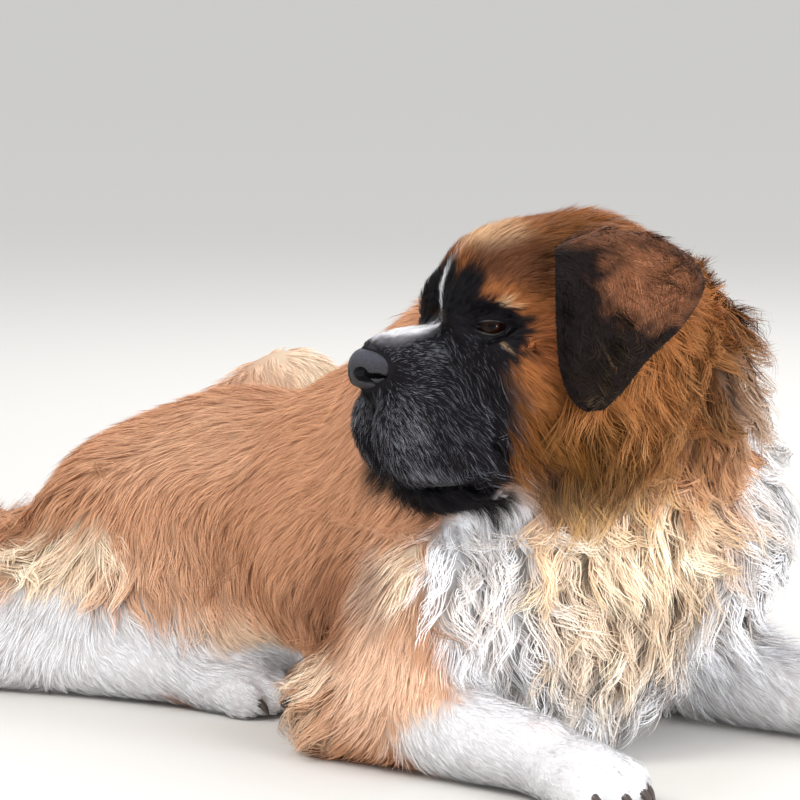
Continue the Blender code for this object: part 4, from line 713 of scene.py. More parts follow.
def array_mesh(name, points, faces, colour=None, normals=None, uv=None, smooth=True):
    """A mesh from arrays, moved onto the frame, with its colour, normals and map."""
    mesh = bpy.data.meshes.new(name)
    points = points + OFFSET
    corners = faces.shape[1]
    mesh.vertices.add(len(points))
    mesh.vertices.foreach_set("co", points.astype(np.float32).ravel())
    mesh.loops.add(faces.size)
    mesh.loops.foreach_set("vertex_index", faces.astype(np.int32).ravel())
    mesh.polygons.add(len(faces))
    mesh.polygons.foreach_set("loop_start", np.arange(0, faces.size, corners, dtype=np.int32))
    mesh.update(calc_edges=True)
    if colour is not None:
        layer = mesh.color_attributes.new("Coat", "FLOAT_COLOR", "POINT")
        rgba = np.ones((len(points), 4), np.float32)
        rgba[:, :3] = colour
        layer.data.foreach_set("color", rgba.ravel())
    if uv is not None:
        layer = mesh.uv_layers.new(name="OFBake")
        layer.data.foreach_set("uv", uv.astype(np.float32).ravel())
    mesh.polygons.foreach_set("use_smooth", np.full(len(faces), smooth))
    if normals is not None:
        mesh.normals_split_custom_set_from_vertices(normals.astype(np.float32))
    return mesh


def principled(name, colour=(0.5, 0.5, 0.5), roughness=0.6):
    material = bpy.data.materials.new(name)
    material.use_nodes = True
    shader = material.node_tree.nodes["Principled BSDF"]
    shader.inputs["Base Color"].default_value = (*colour, 1.0)
    shader.inputs["Roughness"].default_value = roughness
    return material, material.node_tree, shader


def coat_material(name, roughness, bump):
    """Colour from the piece's own Coat attribute, with a fine streaky bump on the skin."""
    material, tree, shader = principled(name, roughness=roughness)
    attribute = tree.nodes.new("ShaderNodeAttribute")
    attribute.attribute_name = "Coat"
    tree.links.new(attribute.outputs["Color"], shader.inputs["Base Color"])
    shader.inputs["Specular IOR Level"].default_value = 0.14
    if bump:
        place = tree.nodes.new("ShaderNodeTexCoord")
        noise = tree.nodes.new("ShaderNodeTexNoise")
        noise.inputs["Scale"].default_value = 420.0
        noise.inputs["Detail"].default_value = 3.0
        relief = tree.nodes.new("ShaderNodeBump")
        relief.inputs["Strength"].default_value = 0.35
        relief.inputs["Distance"].default_value = bump
        tree.links.new(place.outputs["Object"], noise.inputs["Vector"])
        tree.links.new(noise.outputs["Fac"], relief.inputs["Height"])
        tree.links.new(relief.outputs["Normal"], shader.inputs["Normal"])
    return material


def scatter(points, faces, normals, uv, count, chance, density):
    """Random places on a mesh with their normal and map place."""
    if faces.shape[1] == 4:
        triangles = np.concatenate((faces[:, [0, 1, 2]], faces[:, [0, 2, 3]]))
        corner_uv = np.concatenate((uv[:, [0, 1, 2]], uv[:, [0, 2, 3]]))
    else:
        triangles, corner_uv = faces, uv
    corner = points[triangles]
    area = np.linalg.norm(np.cross(corner[:, 1] - corner[:, 0], corner[:, 2] - corner[:, 0]), axis=1)
    area = area * density(corner.mean(1), normals[triangles].mean(1))
    pick = chance.choice(len(triangles), count, p=area / area.sum())
    a, b = chance.random((2, count))
    flip = a + b > 1
    a[flip], b[flip] = 1 - a[flip], 1 - b[flip]
    share = np.stack((1 - a - b, a, b), -1)
    place = (points[triangles[pick]] * share[..., None]).sum(1)
    out = (normals[triangles[pick]] * share[..., None]).sum(1)
    out /= np.linalg.norm(out, axis=1, keepdims=True) + 1e-12
    return place, out, (corner_uv[pick] * share[..., None]).sum(1)


GUIDE_STEPS = 10
WAVE_LENGTH = 0.046
WARM_SHADE = (0.85, 1.03, 1.2)


def grow_guides(place, out, surface, chance, style):
    """Paths that lie along the coat over the surface, as an array of steps for each guide."""
    way, length, rise = style(place)
    length = length * chance.uniform(0.8, 1.2, len(place))
    long_share = np.clip((length - 0.036) / 0.025, 0.0, 1.0)
    swing = chance.normal(0.0, 0.10 + 0.14 * long_share) + 0.75 * ripple(place, 0.050) * (0.2 + long_share)
    phase = 3.0 * ripple(place, 0.055, 0.4) + chance.normal(0.0, 0.9, len(place))
    wave = 0.80 * long_share * chance.uniform(0.3, 1.3, len(place))
    turns = 2.0 * math.pi * length / WAVE_LENGTH
    path = [place]
    outs = [out]
    point = place.copy()
    normal = out.copy()
    for step in range(1, GUIDE_STEPS + 1):
        share = step / GUIDE_STEPS
        flat = way - normal * (way * normal).sum(-1)[:, None]
        flat /= np.linalg.norm(flat, axis=1, keepdims=True) + 1e-9
        turn = swing + wave * np.sin(phase + turns * share)
        flat = flat * np.cos(turn)[:, None] + np.cross(normal, flat) * np.sin(turn)[:, None]
        point = point + flat * (length / GUIDE_STEPS)[:, None]
        for index in range(len(point)):
            hit, face_normal, _, distance = surface.find_nearest(point[index])
            if hit is not None and distance < 0.05:
                normal[index] = 0.5 * normal[index] + 0.5 * np.array(face_normal)
                normal[index] /= np.linalg.norm(normal[index]) + 1e-9
                lift = 1.0 + 0.40 * wave[index] * math.sin(phase[index] + 1.2 + turns[index] * share)
                height = rise[index] * (0.15 + 0.85 * share) * lift
                point[index] = np.array(hit) + normal[index] * height
        path.append(point.copy())
        outs.append(normal.copy())
        way = 0.75 * way + 0.25 * style(point)[0] if step < GUIDE_STEPS else way
    return np.stack(path, 1), np.stack(outs, 1), length, rise


def grow_tufts(name, skin, count, guide_count, chance, style, density, segments, width, clump, colour_of,
               material, replaced=(), shade=0.16, depth=0.0, round_off=0.3, fray=0.05, silver=None):
    """Blades that follow their nearest guide, in pieces of a limited size."""
    points, faces, normals, uv, surface = skin
    guide_place, guide_out, _ = scatter(points, faces, normals, uv, guide_count, chance, density)
    path, outs, _, _ = grow_guides(guide_place, guide_out, surface, chance, style)
    tree = KDTree(len(guide_place))
    for index, place in enumerate(guide_place):
        tree.insert(place, index)
    tree.balance()
    root, out, root_uv = scatter(points, faces, normals, uv, count, chance, density)
    near = np.array([tree.find(place)[1] for place in root])
    _, length, rise = style(root)
    tone_of = colour_of(root)
    guide_light = chance.normal(0.0, shade, guide_count)[near]
    own_light = chance.normal(0.0, 0.10, count)
    light = np.exp(guide_light + own_light)
    extend = chance.uniform(0.75, 1.25, count)
    share = np.linspace(0.0, 1.0, segments + 1)
    rows = share * GUIDE_STEPS
    low = np.minimum(rows.astype(int), GUIDE_STEPS - 1)
    part = rows - low
    spine = path[near][:, low] * (1 - part)[None, :, None] + path[near][:, low + 1] * part[None, :, None]
    spine_out = outs[near][:, low] * (1 - part)[None, :, None] + outs[near][:, low + 1] * part[None, :, None]
    start = spine[:, :1]
    apart = (root - start[:, 0])[:, None]
    stray = chance.normal(0.0, fray, (count, 1, 3)) * length[:, None, None] * share[None, :, None] ** 1.5
    line = root[:, None] + (spine - start) * extend[:, None, None] - apart * (clump * share ** 1.2)[None, :, None]
    line = line + stray
    line[:, 0] -= out * 0.0012
    along = np.gradient(line, axis=1)
    along /= np.linalg.norm(along, axis=2, keepdims=True) + 1e-9
    roll = chance.normal(0.0, 0.45, count)[:, None, None]
    aside = np.cross(spine_out, along)
    aside /= np.linalg.norm(aside, axis=2, keepdims=True) + 1e-9
    aside = aside * np.cos(roll) + spine_out * np.sin(roll)
    profile = np.interp(share, (0.0, 0.3, 0.7, 1.0), (0.7, 1.0, 0.7, 0.05))
    half = 0.5 * width(length)[:, None, None] * profile[None, :, None] * chance.uniform(0.7, 1.3, (count, 1, 1))
    chosen = chance.random(count) < silver(root) if silver is not None else np.zeros(count, bool)
    chosen &= tone_of.mean(1) < 0.08
    half[chosen] *= 0.6
    left = (line - aside * half)[:, :-1]
    right = (line + aside * half)[:, :-1]
    tip = line[:, -1:]
    body = np.stack((left, right), 2).reshape(count, 2 * segments, 3)
    vertex = np.concatenate((body, tip), 1)
    vertex[..., 2] = np.maximum(vertex[..., 2], 0.0005)
    normal = np.repeat(spine_out[:, :-1], 2, axis=1)
    normal = np.concatenate((normal, spine_out[:, -1:]), 1)
    blade = np.cross(along, aside)
    blade *= np.sign((blade * spine_out).sum(-1, keepdims=True))
    blade = np.concatenate((np.repeat(blade[:, :-1], 2, axis=1), blade[:, -1:]), 1)
    middle = np.linalg.norm(apart[:, 0], axis=1)
    reach = np.median(middle) * 1.4 + 1e-6
    normal = 0.6 * normal + 0.4 * blade + round_off * apart / reach
    normal /= np.linalg.norm(normal, axis=2, keepdims=True) + 1e-9
    height = np.concatenate((np.repeat(share[:-1], 2), share[-1:]))
    # painted shade inside the coat: blades far from the middle of their lock are darker by depth
    light = light * (1.06 - depth * np.clip(middle / reach, 0.0, 1.3) ** 2)
    # painted shade: roots are darker by dark and tips a little lighter, warmed toward red by WARM_SHADE
    dark = np.clip(0.10 + 0.42 * length / 0.080, 0.0, 0.55) * (1.0 - 0.60 * tone_of.mean(1))
    dark = dark[:, None]
    shade_of = (1.0 - dark + (dark + 0.10) * height[None]) * light[:, None]
    pale = (pale_share(root) * chance.uniform(0.1, 1.0, guide_count)[near])[:, None] * height[None] ** 1.6
    tone_of = tone_of[:, None] + (np.array(TONES["wheat"]) - tone_of[:, None]) * 0.75 * pale[..., None]
    tipped = height[None, :, None] * chance.uniform(0.3, 1.3, (count, 1, 1)) * (np.array(tone(152, 151, 158)) - tone_of)
    tone_of[chosen] += tipped[chosen]
    colour = np.clip(tone_of * shade_of[..., None] ** np.array(WARM_SHADE), 0.0, 1.0)
    size = 2 * segments + 1
    cells = []
    for row in range(segments - 1):
        first = 2 * row
        cells += [(first, first + 3, first + 1), (first, first + 2, first + 3)]
    cells.append((2 * segments - 2, 2 * segments, 2 * segments - 1))
    cells = np.array(cells)
    flat_uv = np.stack((np.concatenate((np.tile((-0.0015, 0.0015), segments), (0.0,))),
                        0.003 * height - 0.0015), -1)
    made = []
    limit = PIECE_TRIANGLES // len(cells)
    for number, begin in enumerate(range(0, count, limit)):
        end = min(begin + limit, count)
        amount = end - begin
        tris = (np.arange(amount)[:, None, None] * size + cells[None]).reshape(-1, 3)
        corner_uv = (root_uv[begin:end, None] + flat_uv[None]).reshape(-1, 2)[tris]
        title = "%s_%d" % (name, number + 1)
        mesh = array_mesh(title, vertex[begin:end].reshape(-1, 3), tris, colour[begin:end].reshape(-1, 3),
                          normal[begin:end].reshape(-1, 3), corner_uv.reshape(-1, 2))
        made.append(new_object(title, mesh, material, replaced))
    return made


def unwrap(points, faces):
    """Map places for the corners of a mesh, unwrapped on its own shape."""
    mesh = array_mesh("unwrap", points, faces)
    item = bpy.data.objects.new("unwrap", mesh)
    bpy.context.scene.collection.objects.link(item)
    bpy.context.view_layer.objects.active = item
    item.select_set(True)
    bpy.ops.object.mode_set(mode="EDIT")
    bpy.ops.mesh.select_all(action="SELECT")
    bpy.ops.uv.smart_project(angle_limit=math.radians(72), island_margin=0.002)
    bpy.ops.object.mode_set(mode="OBJECT")
    uv = np.zeros(len(mesh.loops) * 2, np.float32)
    mesh.uv_layers[0].data.foreach_get("uv", uv)
    bpy.data.objects.remove(item, do_unlink=True)
    bpy.data.meshes.remove(mesh)
    return uv.reshape(len(faces), faces.shape[1], 2).astype(float)


def skin_parts(points, faces, uv=None):
    normals = normals_of(points, faces)
    if uv is None:
        uv = unwrap(points, faces)
    surface = BVHTree.FromPolygons(points.tolist(), faces.tolist())
    return points, faces, normals, uv, surface


# ears
EAR_FRONT = ((-0.188, 0.042, 0.092), (-0.171, 0.082, 0.108), (-0.161, 0.110, 0.088), (-0.158, 0.121, 0.044),
             (-0.160, 0.125, 0.004), (-0.170, 0.126, -0.024), (-0.186, 0.124, -0.038))
EAR_REAR = ((-0.288, 0.044, 0.082), (-0.300, 0.078, 0.096), (-0.309, 0.106, 0.074), (-0.284, 0.122, 0.040),
            (-0.246, 0.126, 0.008), (-0.222, 0.126, -0.020), (-0.204, 0.124, -0.037))
EAR_REAR_HEIGHTS = (-0.038, -0.020, 0.008, 0.040, 0.074, 0.096)
EAR_REAR_PLACES = (-0.204, -0.222, -0.246, -0.284, -0.309, -0.300)
EAR_BULGE = (0.002, 0.011, 0.017, 0.014, 0.009, 0.005, 0.001)
EAR_LIFT = (0.016, 0.018, 0.012, 0.004, 0.000, 0.000, 0.000)
EAR_NODES = ("ear_left", "ear_right")


def spline(values, share):
    """Values along a smooth curve through the rows of a table."""
    values = np.array(values, float)
    if values.ndim == 1:
        values = values[:, None]
    place = share * (len(values) - 1)
    low = np.clip(place.astype(int), 0, len(values) - 2)
    t = (place - low)[:, None]
    before = values[np.maximum(low - 1, 0)]
    after = values[np.minimum(low + 2, len(values) - 1)]
    first, second = values[low], values[low + 1]
    return 0.5 * (2 * first + (second - before) * t + (2 * before - 5 * first + 4 * second - after) * t ** 2
                  + (3 * first - before - 3 * second + after) * t ** 3)


def ear_skin(side, rows=34, columns=30):
    """A closed ear flap with rounded borders, soft waves and an inner face."""
    down = np.linspace(0, 1, rows)
    front, rear = spline(EAR_FRONT, down), spline(EAR_REAR, down)
    bulge, lift = spline(EAR_BULGE, down), spline(EAR_LIFT, down)
    across = np.linspace(0, 1, columns)
    middle = front[:, None] * (1 - across)[None, :, None] + rear[:, None] * across[None, :, None]
    arch = np.sin(math.pi * across)
    fold = np.exp(-((across[None] - 0.38 - 0.25 * down[:, None]) / 0.10) ** 2) * np.sin(math.pi * down)[:, None]
    middle[..., 1] += bulge * arch - 0.006 * fold + 0.003 * np.exp(-((across[None] - 0.15) / 0.10) ** 2)
    middle[..., 2] += lift * arch
    tangent = np.gradient(middle, axis=1)
    drop = np.gradient(middle, axis=0)
    out = np.cross(tangent, drop)
    out /= np.linalg.norm(out, axis=2, keepdims=True) + 1e-12
    out *= np.sign(out[..., 1:2] + 1e-9)
    border = np.minimum(1.0, 5.0 * np.minimum(across, 1 - across))[None] * np.minimum(1.0, 6.0 * (1 - down))[:, None]
    half = 0.0006 + 0.0026 * np.sqrt(np.clip(border, 0, 1))
    outer = middle + out * half[..., None]
    inner = middle - out * half[..., None]
    points = np.concatenate((outer.reshape(-1, 3), inner.reshape(-1, 3)))
    points = np.stack([np.array(head_point(x, side * y, z)) for x, y, z in points])
    size = rows * columns
    quads = []
    for row in range(rows - 1):
        for column in range(columns - 1):
            corner = row * columns + column
            quads.append((corner, corner + 1, corner + columns + 1, corner + columns))
            quads.append((size + corner, size + corner + columns, size + corner + columns + 1, size + corner + 1))
    edge = list(range(columns)) + [row * columns + columns - 1 for row in range(1, rows)]
    edge += [(rows - 1) * columns + column for column in range(columns - 2, -1, -1)]
    edge += [row * columns for row in range(rows - 2, 0, -1)]
    for here, there in zip(edge, edge[1:] + edge[:1]):
        quads.append((here, here + size, there + size, there))
    faces = np.array(quads)
    if side < 0:
        faces = faces[:, ::-1]
    return points, faces


def ear_style(points):
    """Hair of the ear runs down and back, longest at its base."""
    place = head_axes(points)
    down = np.clip((0.120 - place[:, 2]) / 0.15, 0.0, 1.0)
    ahead = np.clip((place[:, 0] + 0.190) / 0.020, 0.0, 1.0)[:, None]
    way = np.array(head_way(-0.25, 0.0, -1.0)) + ahead * np.array(head_way(0.60, 0.0, 0.0))
    way[down < 0.25] = np.array(head_way(-0.75, 0.0, -0.55))
    rear = np.interp(place[:, 2], EAR_REAR_HEIGHTS, EAR_REAR_PLACES)
    behind = np.clip((rear + 0.020 - place[:, 0]) / 0.020, 0.0, 1.0)
    way += behind[:, None] * np.array(head_way(-0.5, 0.15, 0.1))
    length = 0.026 - 0.010 * down + 0.012 * behind
    return way, length, 0.0045 + 0.009 * behind


def ear_colour(points):
    """A dark flap with a brown patch on its upper rear half."""
    place = head_axes(points)
    wobble = 0.22 * ripple(points, 0.02)
    reach = np.sqrt(((place[:, 0] + 0.252) / 0.060) ** 2 + ((place[:, 2] - 0.078) / 0.045) ** 2) + wobble
    share = np.clip((1.05 - reach) / 0.5, 0.0, 1.0)[:, None]
    flap = np.array(tone(29, 22, 21))
    base = np.clip((place[:, 2] - 0.106) / 0.012, 0.0, 1.0)[:, None]
    share = np.maximum(share, 0.8 * base)
    return flap + (np.array(tone(128, 84, 60)) - flap) * share


# small pieces
def tube(path, radii, sides_count=8, steps=24):
    """Points and faces of a smooth closed tube through a path."""
    share = np.linspace(0, 1, steps)
    line = spline(path, share)
    radius = spline(radii, share)[:, 0]
    along = np.gradient(line, axis=0)
    along /= np.linalg.norm(along, axis=1, keepdims=True)
    side = np.cross(along, (0.0, 0.0, 1.0))
    side /= np.linalg.norm(side, axis=1, keepdims=True) + 1e-9
    up = np.cross(side, along)
    angle = np.linspace(0, 2 * math.pi, sides_count, endpoint=False)
    ring = (side[:, None] * np.cos(angle)[None, :, None] + up[:, None] * np.sin(angle)[None, :, None])
    points = (line[:, None] + ring * radius[:, None, None]).reshape(-1, 3)
    points = np.concatenate((points, line[:1], line[-1:]))
    faces = []
    for row in range(steps - 1):
        for corner in range(sides_count):
            after = (corner + 1) % sides_count
            a, b = row * sides_count + corner, row * sides_count + after
            faces += [(a, b, b + sides_count), (a, b + sides_count, a + sides_count)]
    last = (steps - 1) * sides_count
    for corner in range(sides_count):
        after = (corner + 1) % sides_count
        faces.append((len(points) - 2, after, corner))
        faces.append((len(points) - 1, last + corner, last + after))
    return points, np.array(faces)


def head_tube(path, radii, side, **options):
    return tube([head_point(x, side * y, z) for x, y, z in path], radii, **options)


def joined(parts):
    points, faces, start = [], [], 0
    for own_points, own_faces in parts:
        points.append(own_points)
        faces.append(own_faces + start)
        start += len(own_points)
    return np.concatenate(points), np.concatenate(faces)


def eye_piece(side):
    """An eyeball that looks forward and a little out, with a clear bulge over the iris."""
    centre = np.array(head_point(EYE_PLACE[0], side * EYE_PLACE[1], EYE_PLACE[2]))
    gaze = np.array(head_way(0.38, side * 0.92, -0.02))
    gaze /= np.linalg.norm(gaze)
    rings, count = 40, 48
    angle = np.linspace(0.004, math.pi - 0.004, rings)
    turn = np.linspace(0, 2 * math.pi, count, endpoint=False)
    side_way = np.cross(gaze, (0, 0, 1.0))
    side_way /= np.linalg.norm(side_way)
    up = np.cross(side_way, gaze)
    points = []
    colours = []
    iris, pupil = math.radians(34), math.radians(13)
    for a in angle:
        radius = EYE_RADIUS * (1.0 + 0.05 * max(0.0, 1 - (a / iris) ** 2))
        ring = gaze * math.cos(a) + (side_way[None] * np.cos(turn)[:, None] + up[None] * np.sin(turn)[:, None]) \
            * math.sin(a)
        points.append(centre + ring * radius)
        if a < pupil:
            shade = np.tile(np.array(tone(8, 6, 6)), (count, 1))
        elif a < iris:
            rim = (a - pupil) / (iris - pupil)
            streak = 0.85 + 0.15 * np.sin(turn * 23) * np.sin(turn * 7 + 1)
            shade = np.array(tone(31, 17, 10)) * (1.15 - 0.75 * rim ** 2) * streak[:, None]
        else:
            fade = min(1.0, (a - iris) / 0.12)
            shade = np.tile(np.array(tone(20, 12, 10)) * (1 - fade) + np.array(tone(26, 18, 17)) * fade, (count, 1))
        colours.append(shade)
    points = np.concatenate(points)
    colours = np.concatenate(colours)
    faces = []
    for row in range(rings - 1):
        for corner in range(count):
            after = (corner + 1) % count
            faces.append((row * count + corner, (row + 1) * count + corner, (row + 1) * count + after,
                          row * count + after))
    return points, np.array(faces), colours


def nose_field(points):
    """The nose leather with its nostrils and split, a little proud of the skin."""
    result = None
    for name, centre, radii, width in HEAD:
        if not name.startswith(("nose", "muzzle", "bridge")) or name == "muzzle_root_pair":
            continue
        for _, place in sides(name, centre):
            distance = egg_distance(points, head_point(*place), radii, HEAD_HEADING)
            result = distance if result is None else blend(result, distance, width)
    for name, centre, radii, width in HEAD_HOLLOWS[1:4]:
        for _, place in sides(name, centre):
            result = carve(result, egg_distance(points, head_point(*place), radii, HEAD_HEADING), width)
    for side in (1, -1):
        slit = [head_point(x, side * y, z) for x, y, z in
                ((-0.008, 0.0175, -0.0150), (-0.018, 0.0240, -0.0205), (-0.030, 0.0270, -0.0180),
                 (-0.042, 0.0280, -0.0090), (-0.049, 0.0265, 0.0010))]
        result = carve(result, limb_distance(points, slit, (0.0034, 0.0028, 0.0022, 0.0016, 0.0008)), 0.002)
        flat = egg_distance(points, head_point(-0.0120, side * 0.0130, -0.0100), (0.0135, 0.0080, 0.0070), HEAD_HEADING)
        result = carve(result, flat, 0.002)
    split = [head_point(*place) for place in ((0.004, 0.0, -0.004), (0.001, 0.0, -0.020), (-0.004, 0.0, -0.034))]
    result = carve(result, limb_distance(points, split, (0.0008, 0.0016, 0.0020)), 0.002)
    limit = egg_distance(points, head_point(-0.018, 0.0, -0.0065), (0.0285, 0.032, 0.0190), HEAD_HEADING)
    return -blend(-(result - 0.0004), -limit, 0.002)


def nose_tones(points):
    """Slate on top, lighter there as a painted sheen, darker below, and black inside the nostrils as painted shade."""
    place = head_axes(points)
    # painted sheen: the top of the nose leather is lighter and bluer
    top = np.clip((place[:, 2] + 0.004) / 0.010, 0.0, 1.0)[:, None]
    tones = np.array(tone(26, 24, 28)) + (np.array(tone(50, 50, 60)) - np.array(tone(26, 24, 28))) * top
    place[:, 1] = np.abs(place[:, 1])
    # painted shade: black deep in the nostril hollows
    hole = np.sqrt((((place - np.array((-0.0120, 0.0130, -0.0100))) / np.array((0.0130, 0.0080, 0.0070))) ** 2).sum(-1))
    return tones * np.clip((hole - 0.75) / 0.3, 0.05, 1.0)[:, None]


def claw_piece(paw, toe):
    _, place, heading, length, half_width, height = paw
    start = (TOE_REACH[toe] - 0.10 + 0.10) * length
    path = []
    for forward, up in ((0.0, 0.36), (0.10, 0.34), (0.17, 0.25), (0.215, 0.12)):
        path.append(turned(heading, start + forward * length, TOE_SPREAD[toe] * half_width, up * height,
                           (*place, 0.0)))
    return tube(path, (0.0050, 0.0046, 0.0036, 0.0010), sides_count=10, steps=14)


def streak_material(name, colour, roughness, scale, bump, coat=0.0):
    """A plain tone with fine relief."""
    material, tree, shader = principled(name, colour, roughness)
    shader.inputs["Coat Weight"].default_value = coat
    shader.inputs["Coat Roughness"].default_value = 0.15
    place = tree.nodes.new("ShaderNodeTexCoord")
    cells = tree.nodes.new("ShaderNodeTexVoronoi")
    cells.inputs["Scale"].default_value = scale
    relief = tree.nodes.new("ShaderNodeBump")
    relief.inputs["Strength"].default_value = 0.8
    relief.inputs["Distance"].default_value = bump
    tree.links.new(place.outputs["Object"], cells.inputs["Vector"])
    tree.links.new(cells.outputs["Distance"], relief.inputs["Height"])
    tree.links.new(relief.outputs["Normal"], shader.inputs["Normal"])
    return material


# the dog
chance = np.random.default_rng(SEED)
COLLAR_LIFT = 0.010
HEAD_CENTRE = np.array(head_point(-0.165, 0.0, -0.005))
HEAD_REACH = np.array((0.215, 0.215, 0.175))
SEAM_PLACE = np.array(head_point(-0.300, 0.0, -0.030))
SEAM_WAY = np.array(head_way(0.86, 0.0, 0.51))
FLESH = ("chest torso rump neck head lower_jaw upper_arm_left upper_arm_right forearm_left forearm_right "
         "front_paw_left front_paw_right thigh_left thigh_right shank_left shank_right hind_foot_left "
         "hind_foot_right tail tail_tip").split()


def kept_part(points, faces, keep):
    """The faces whose corners are all kept, with the points that they use."""
    faces = faces[keep[faces].all(1)]
    used = np.unique(faces)
    number = np.full(len(points), -1)
    number[used] = np.arange(len(used))
    return points[used], number[faces]


def inset(points, faces, depth):
    """Move a skin inwards by a depth at each point."""
    return points - normals_of(points, faces) * depth[:, None]


def flesh_mesh():
    """The skin of the head and that of the rest, which run on under each other in the ruff."""
    low, high = HEAD_CENTRE - HEAD_REACH, HEAD_CENTRE + HEAD_REACH
    points, faces = level_mesh(dog_field, low, high, HEAD_STEP)
    ahead = (points - SEAM_PLACE) @ SEAM_WAY
    inner = ((points > low + 0.006) & (points < high - 0.006)).all(1)
    head = kept_part(points, faces, (ahead > -0.004) & inner)
    points, faces = level_mesh(dog_field, (-0.60, -0.34, -0.03), (0.66, 0.98, 0.60), BODY_STEP)
    ahead = (points - SEAM_PLACE) @ SEAM_WAY
    in_box = ((points > low + 0.026) & (points < high - 0.026)).all(1)
    body = kept_part(points, faces, ~((ahead > 0.012) & in_box))
    return head, body


head_raw, body_raw = flesh_mesh()


def depth_of(points):
    return coat_at(points)[2]


head_points = inset(*head_raw, depth_of(head_raw[0]) * 0.8)
body_points = inset(*body_raw, depth_of(body_raw[0]) * 0.8)
body_points[:, 2] = np.maximum(body_points[:, 2], 0.0012)
head_skin = skin_parts(head_points, head_raw[1])
body_skin = skin_parts(body_points, body_raw[1])

skin_material = coat_material("Skin", 0.75, 0.0008)
fur_material = coat_material("Fur", 0.62, 0.0)
for title, skin in (("skin_head", head_skin), ("skin_body", body_skin)):
    # painted shade: the skin's colour is darkened more where the coat over it is longer
    tones = markings(skin[0]) * (0.85 - 0.40 * np.clip(coat_at(skin[0])[1] / 0.06, 0.0, 1.0))[:, None]
    mesh = array_mesh(title, skin[0], skin[1], tones, None, skin[3].reshape(-1, 2))
    new_object(title, mesh, skin_material, FLESH)


def coat_style(points):
    way, length, rise = coat_at(points)
    return way, length, rise + COLLAR_LIFT * collar_cover(points)


def nose_distance(points):
    return egg_distance(points, head_point(-0.018, 0.0, -0.0065), (0.0280, 0.031, 0.0185), HEAD_HEADING)


def eye_clear(points):
    """1 away from the eyes, 0 on the lids' rims and inside the sockets."""
    result = np.ones(len(points))
    for side in (1, -1):
        centre = np.array(head_point(EYE_PLACE[0] + 0.004, side * (EYE_PLACE[1] + 0.010), EYE_PLACE[2] - 0.001))
        own = head_axes(points) - head_axes(centre[None])
        reach = np.sqrt((own[:, 0] / 0.0165) ** 2 + (own[:, 1] / 0.016) ** 2 + (own[:, 2] / 0.0078) ** 2)
        result = np.minimum(result, np.clip((reach - 1.0) * 5.0, 0.0, 1.0))
    return result


def head_density(points, normals):
    length = coat_at(points)[1]
    weight = (0.014 / np.maximum(length, 0.007)) ** 1.2
    weight *= (nose_distance(points) > 0.0015)
    weight *= eye_clear(points)
    place = head_axes(points)
    weight *= np.clip((0.30 + place[:, 0]) / 0.02 + 1.0, 0.0, 1.0)
    return weight


def short_density(points, normals):
    length = coat_at(points)[1]
    weight = (0.040 / np.maximum(length, 0.012)) * np.clip((0.056 - length) / 0.016, 0.0, 1.0)
    hidden = (points[:, 2] < 0.004) & (normals[:, 2] < -0.5)
    return weight * np.where(hidden, 0.0, 1.0)


def long_density(points, normals):
    length = coat_at(points)[1]
    weight = np.clip((length - 0.034) / 0.016, 0.0, 1.0) * (1.0 + 1.5 * collar_cover(points)) * tab_clear(points)
    hidden = (points[:, 2] < 0.004) & (normals[:, 2] < -0.5)
    return weight * np.where(hidden, 0.0, 1.0)


def ruff_density(points, normals):
    """Long hair on the back of the head and under the ears."""
    length = coat_at(points)[1]
    place = head_axes(points)
    back = np.clip((-0.235 - place[:, 0]) / 0.030, 0.0, 1.0)
    return np.clip((length - 0.028) / 0.012, 0.0, 1.0) * back * (1.0 + collar_cover(points)) * tab_clear(points)


def body_colour(points):
    return markings(points)


def grow(share):
    return int(share * TUFT_SHARE)


grow_tufts("fur_head", head_skin, grow(108000), 5200, chance, coat_style, head_density, 2,
           lambda length: 0.00030 + 0.008 * length, 0.25, body_colour, fur_material, shade=0.08,
           fray=0.08, silver=silver_share)
grow_tufts("fur_ruff", head_skin, grow(11000), 700, chance, coat_style, ruff_density, 5,
           lambda length: 0.0006 + 0.006 * length, 0.80, body_colour, fur_material, shade=0.22,
           depth=0.15, round_off=0.5)
grow_tufts("fur_short", body_skin, grow(134000), 9000, chance, coat_style, short_density, 2,
           lambda length: 0.00040 + 0.0065 * length, 0.25, body_colour, fur_material, shade=0.06,
           round_off=0.15)
grow_tufts("fur_long", body_skin, grow(45000), 2000, chance, coat_style, long_density, 7,
           lambda length: 0.0006 + 0.006 * length, 0.80, body_colour, fur_material, shade=0.18,
           depth=0.12, round_off=0.6, fray=0.045)

for side, node in ((1, "ear_left"), (-1, "ear_right")):
    points, faces = ear_skin(side)
    skin = skin_parts(points, faces)
    # painted shade: the ear's skin is darkened to 0.6 of the coat colour beneath its fur
    mesh = array_mesh("skin_" + node, points, faces, ear_colour(points) * 0.6, None, skin[3].reshape(-1, 2))
    new_object("skin_" + node, mesh, skin_material, (node,))
    grow_tufts("fur_" + node, skin, grow(15000), 900, chance, ear_style, lambda p, n: np.ones(len(p)), 2,
               lambda length: 0.0006 + 0.010 * length, 0.4, ear_colour, fur_material, fray=0.10)

eye_material = coat_material("Eye", 0.06, 0.0)
eye_material.node_tree.nodes["Principled BSDF"].inputs["Specular IOR Level"].default_value = 0.12
rim_material = streak_material("Lid rim", tone(20, 16, 17), 0.45, 900.0, 0.0001, 0.1)
for side, node in ((1, "eye_left"), (-1, "eye_right")):
    points, faces, tones = eye_piece(side)
    new_object("eyeball_" + node[4:], array_mesh("eyeball_" + node[4:], points, faces, tones), eye_material,
               (node,))
    rims = []
    for path, radii in LIDS[:2]:
        inner = [(x + 0.0006, y - 0.0012, z + (-0.0034 if z > 0.040 else 0.0034 if z < 0.030 else 0.0))
                 for x, y, z in path]
        rims.append(head_tube(inner, [0.0010, 0.0013, 0.0013, 0.0010], side))
    new_object("lid_rim_" + node[4:], array_mesh("lid_rim_" + node[4:], *joined(rims)), rim_material)

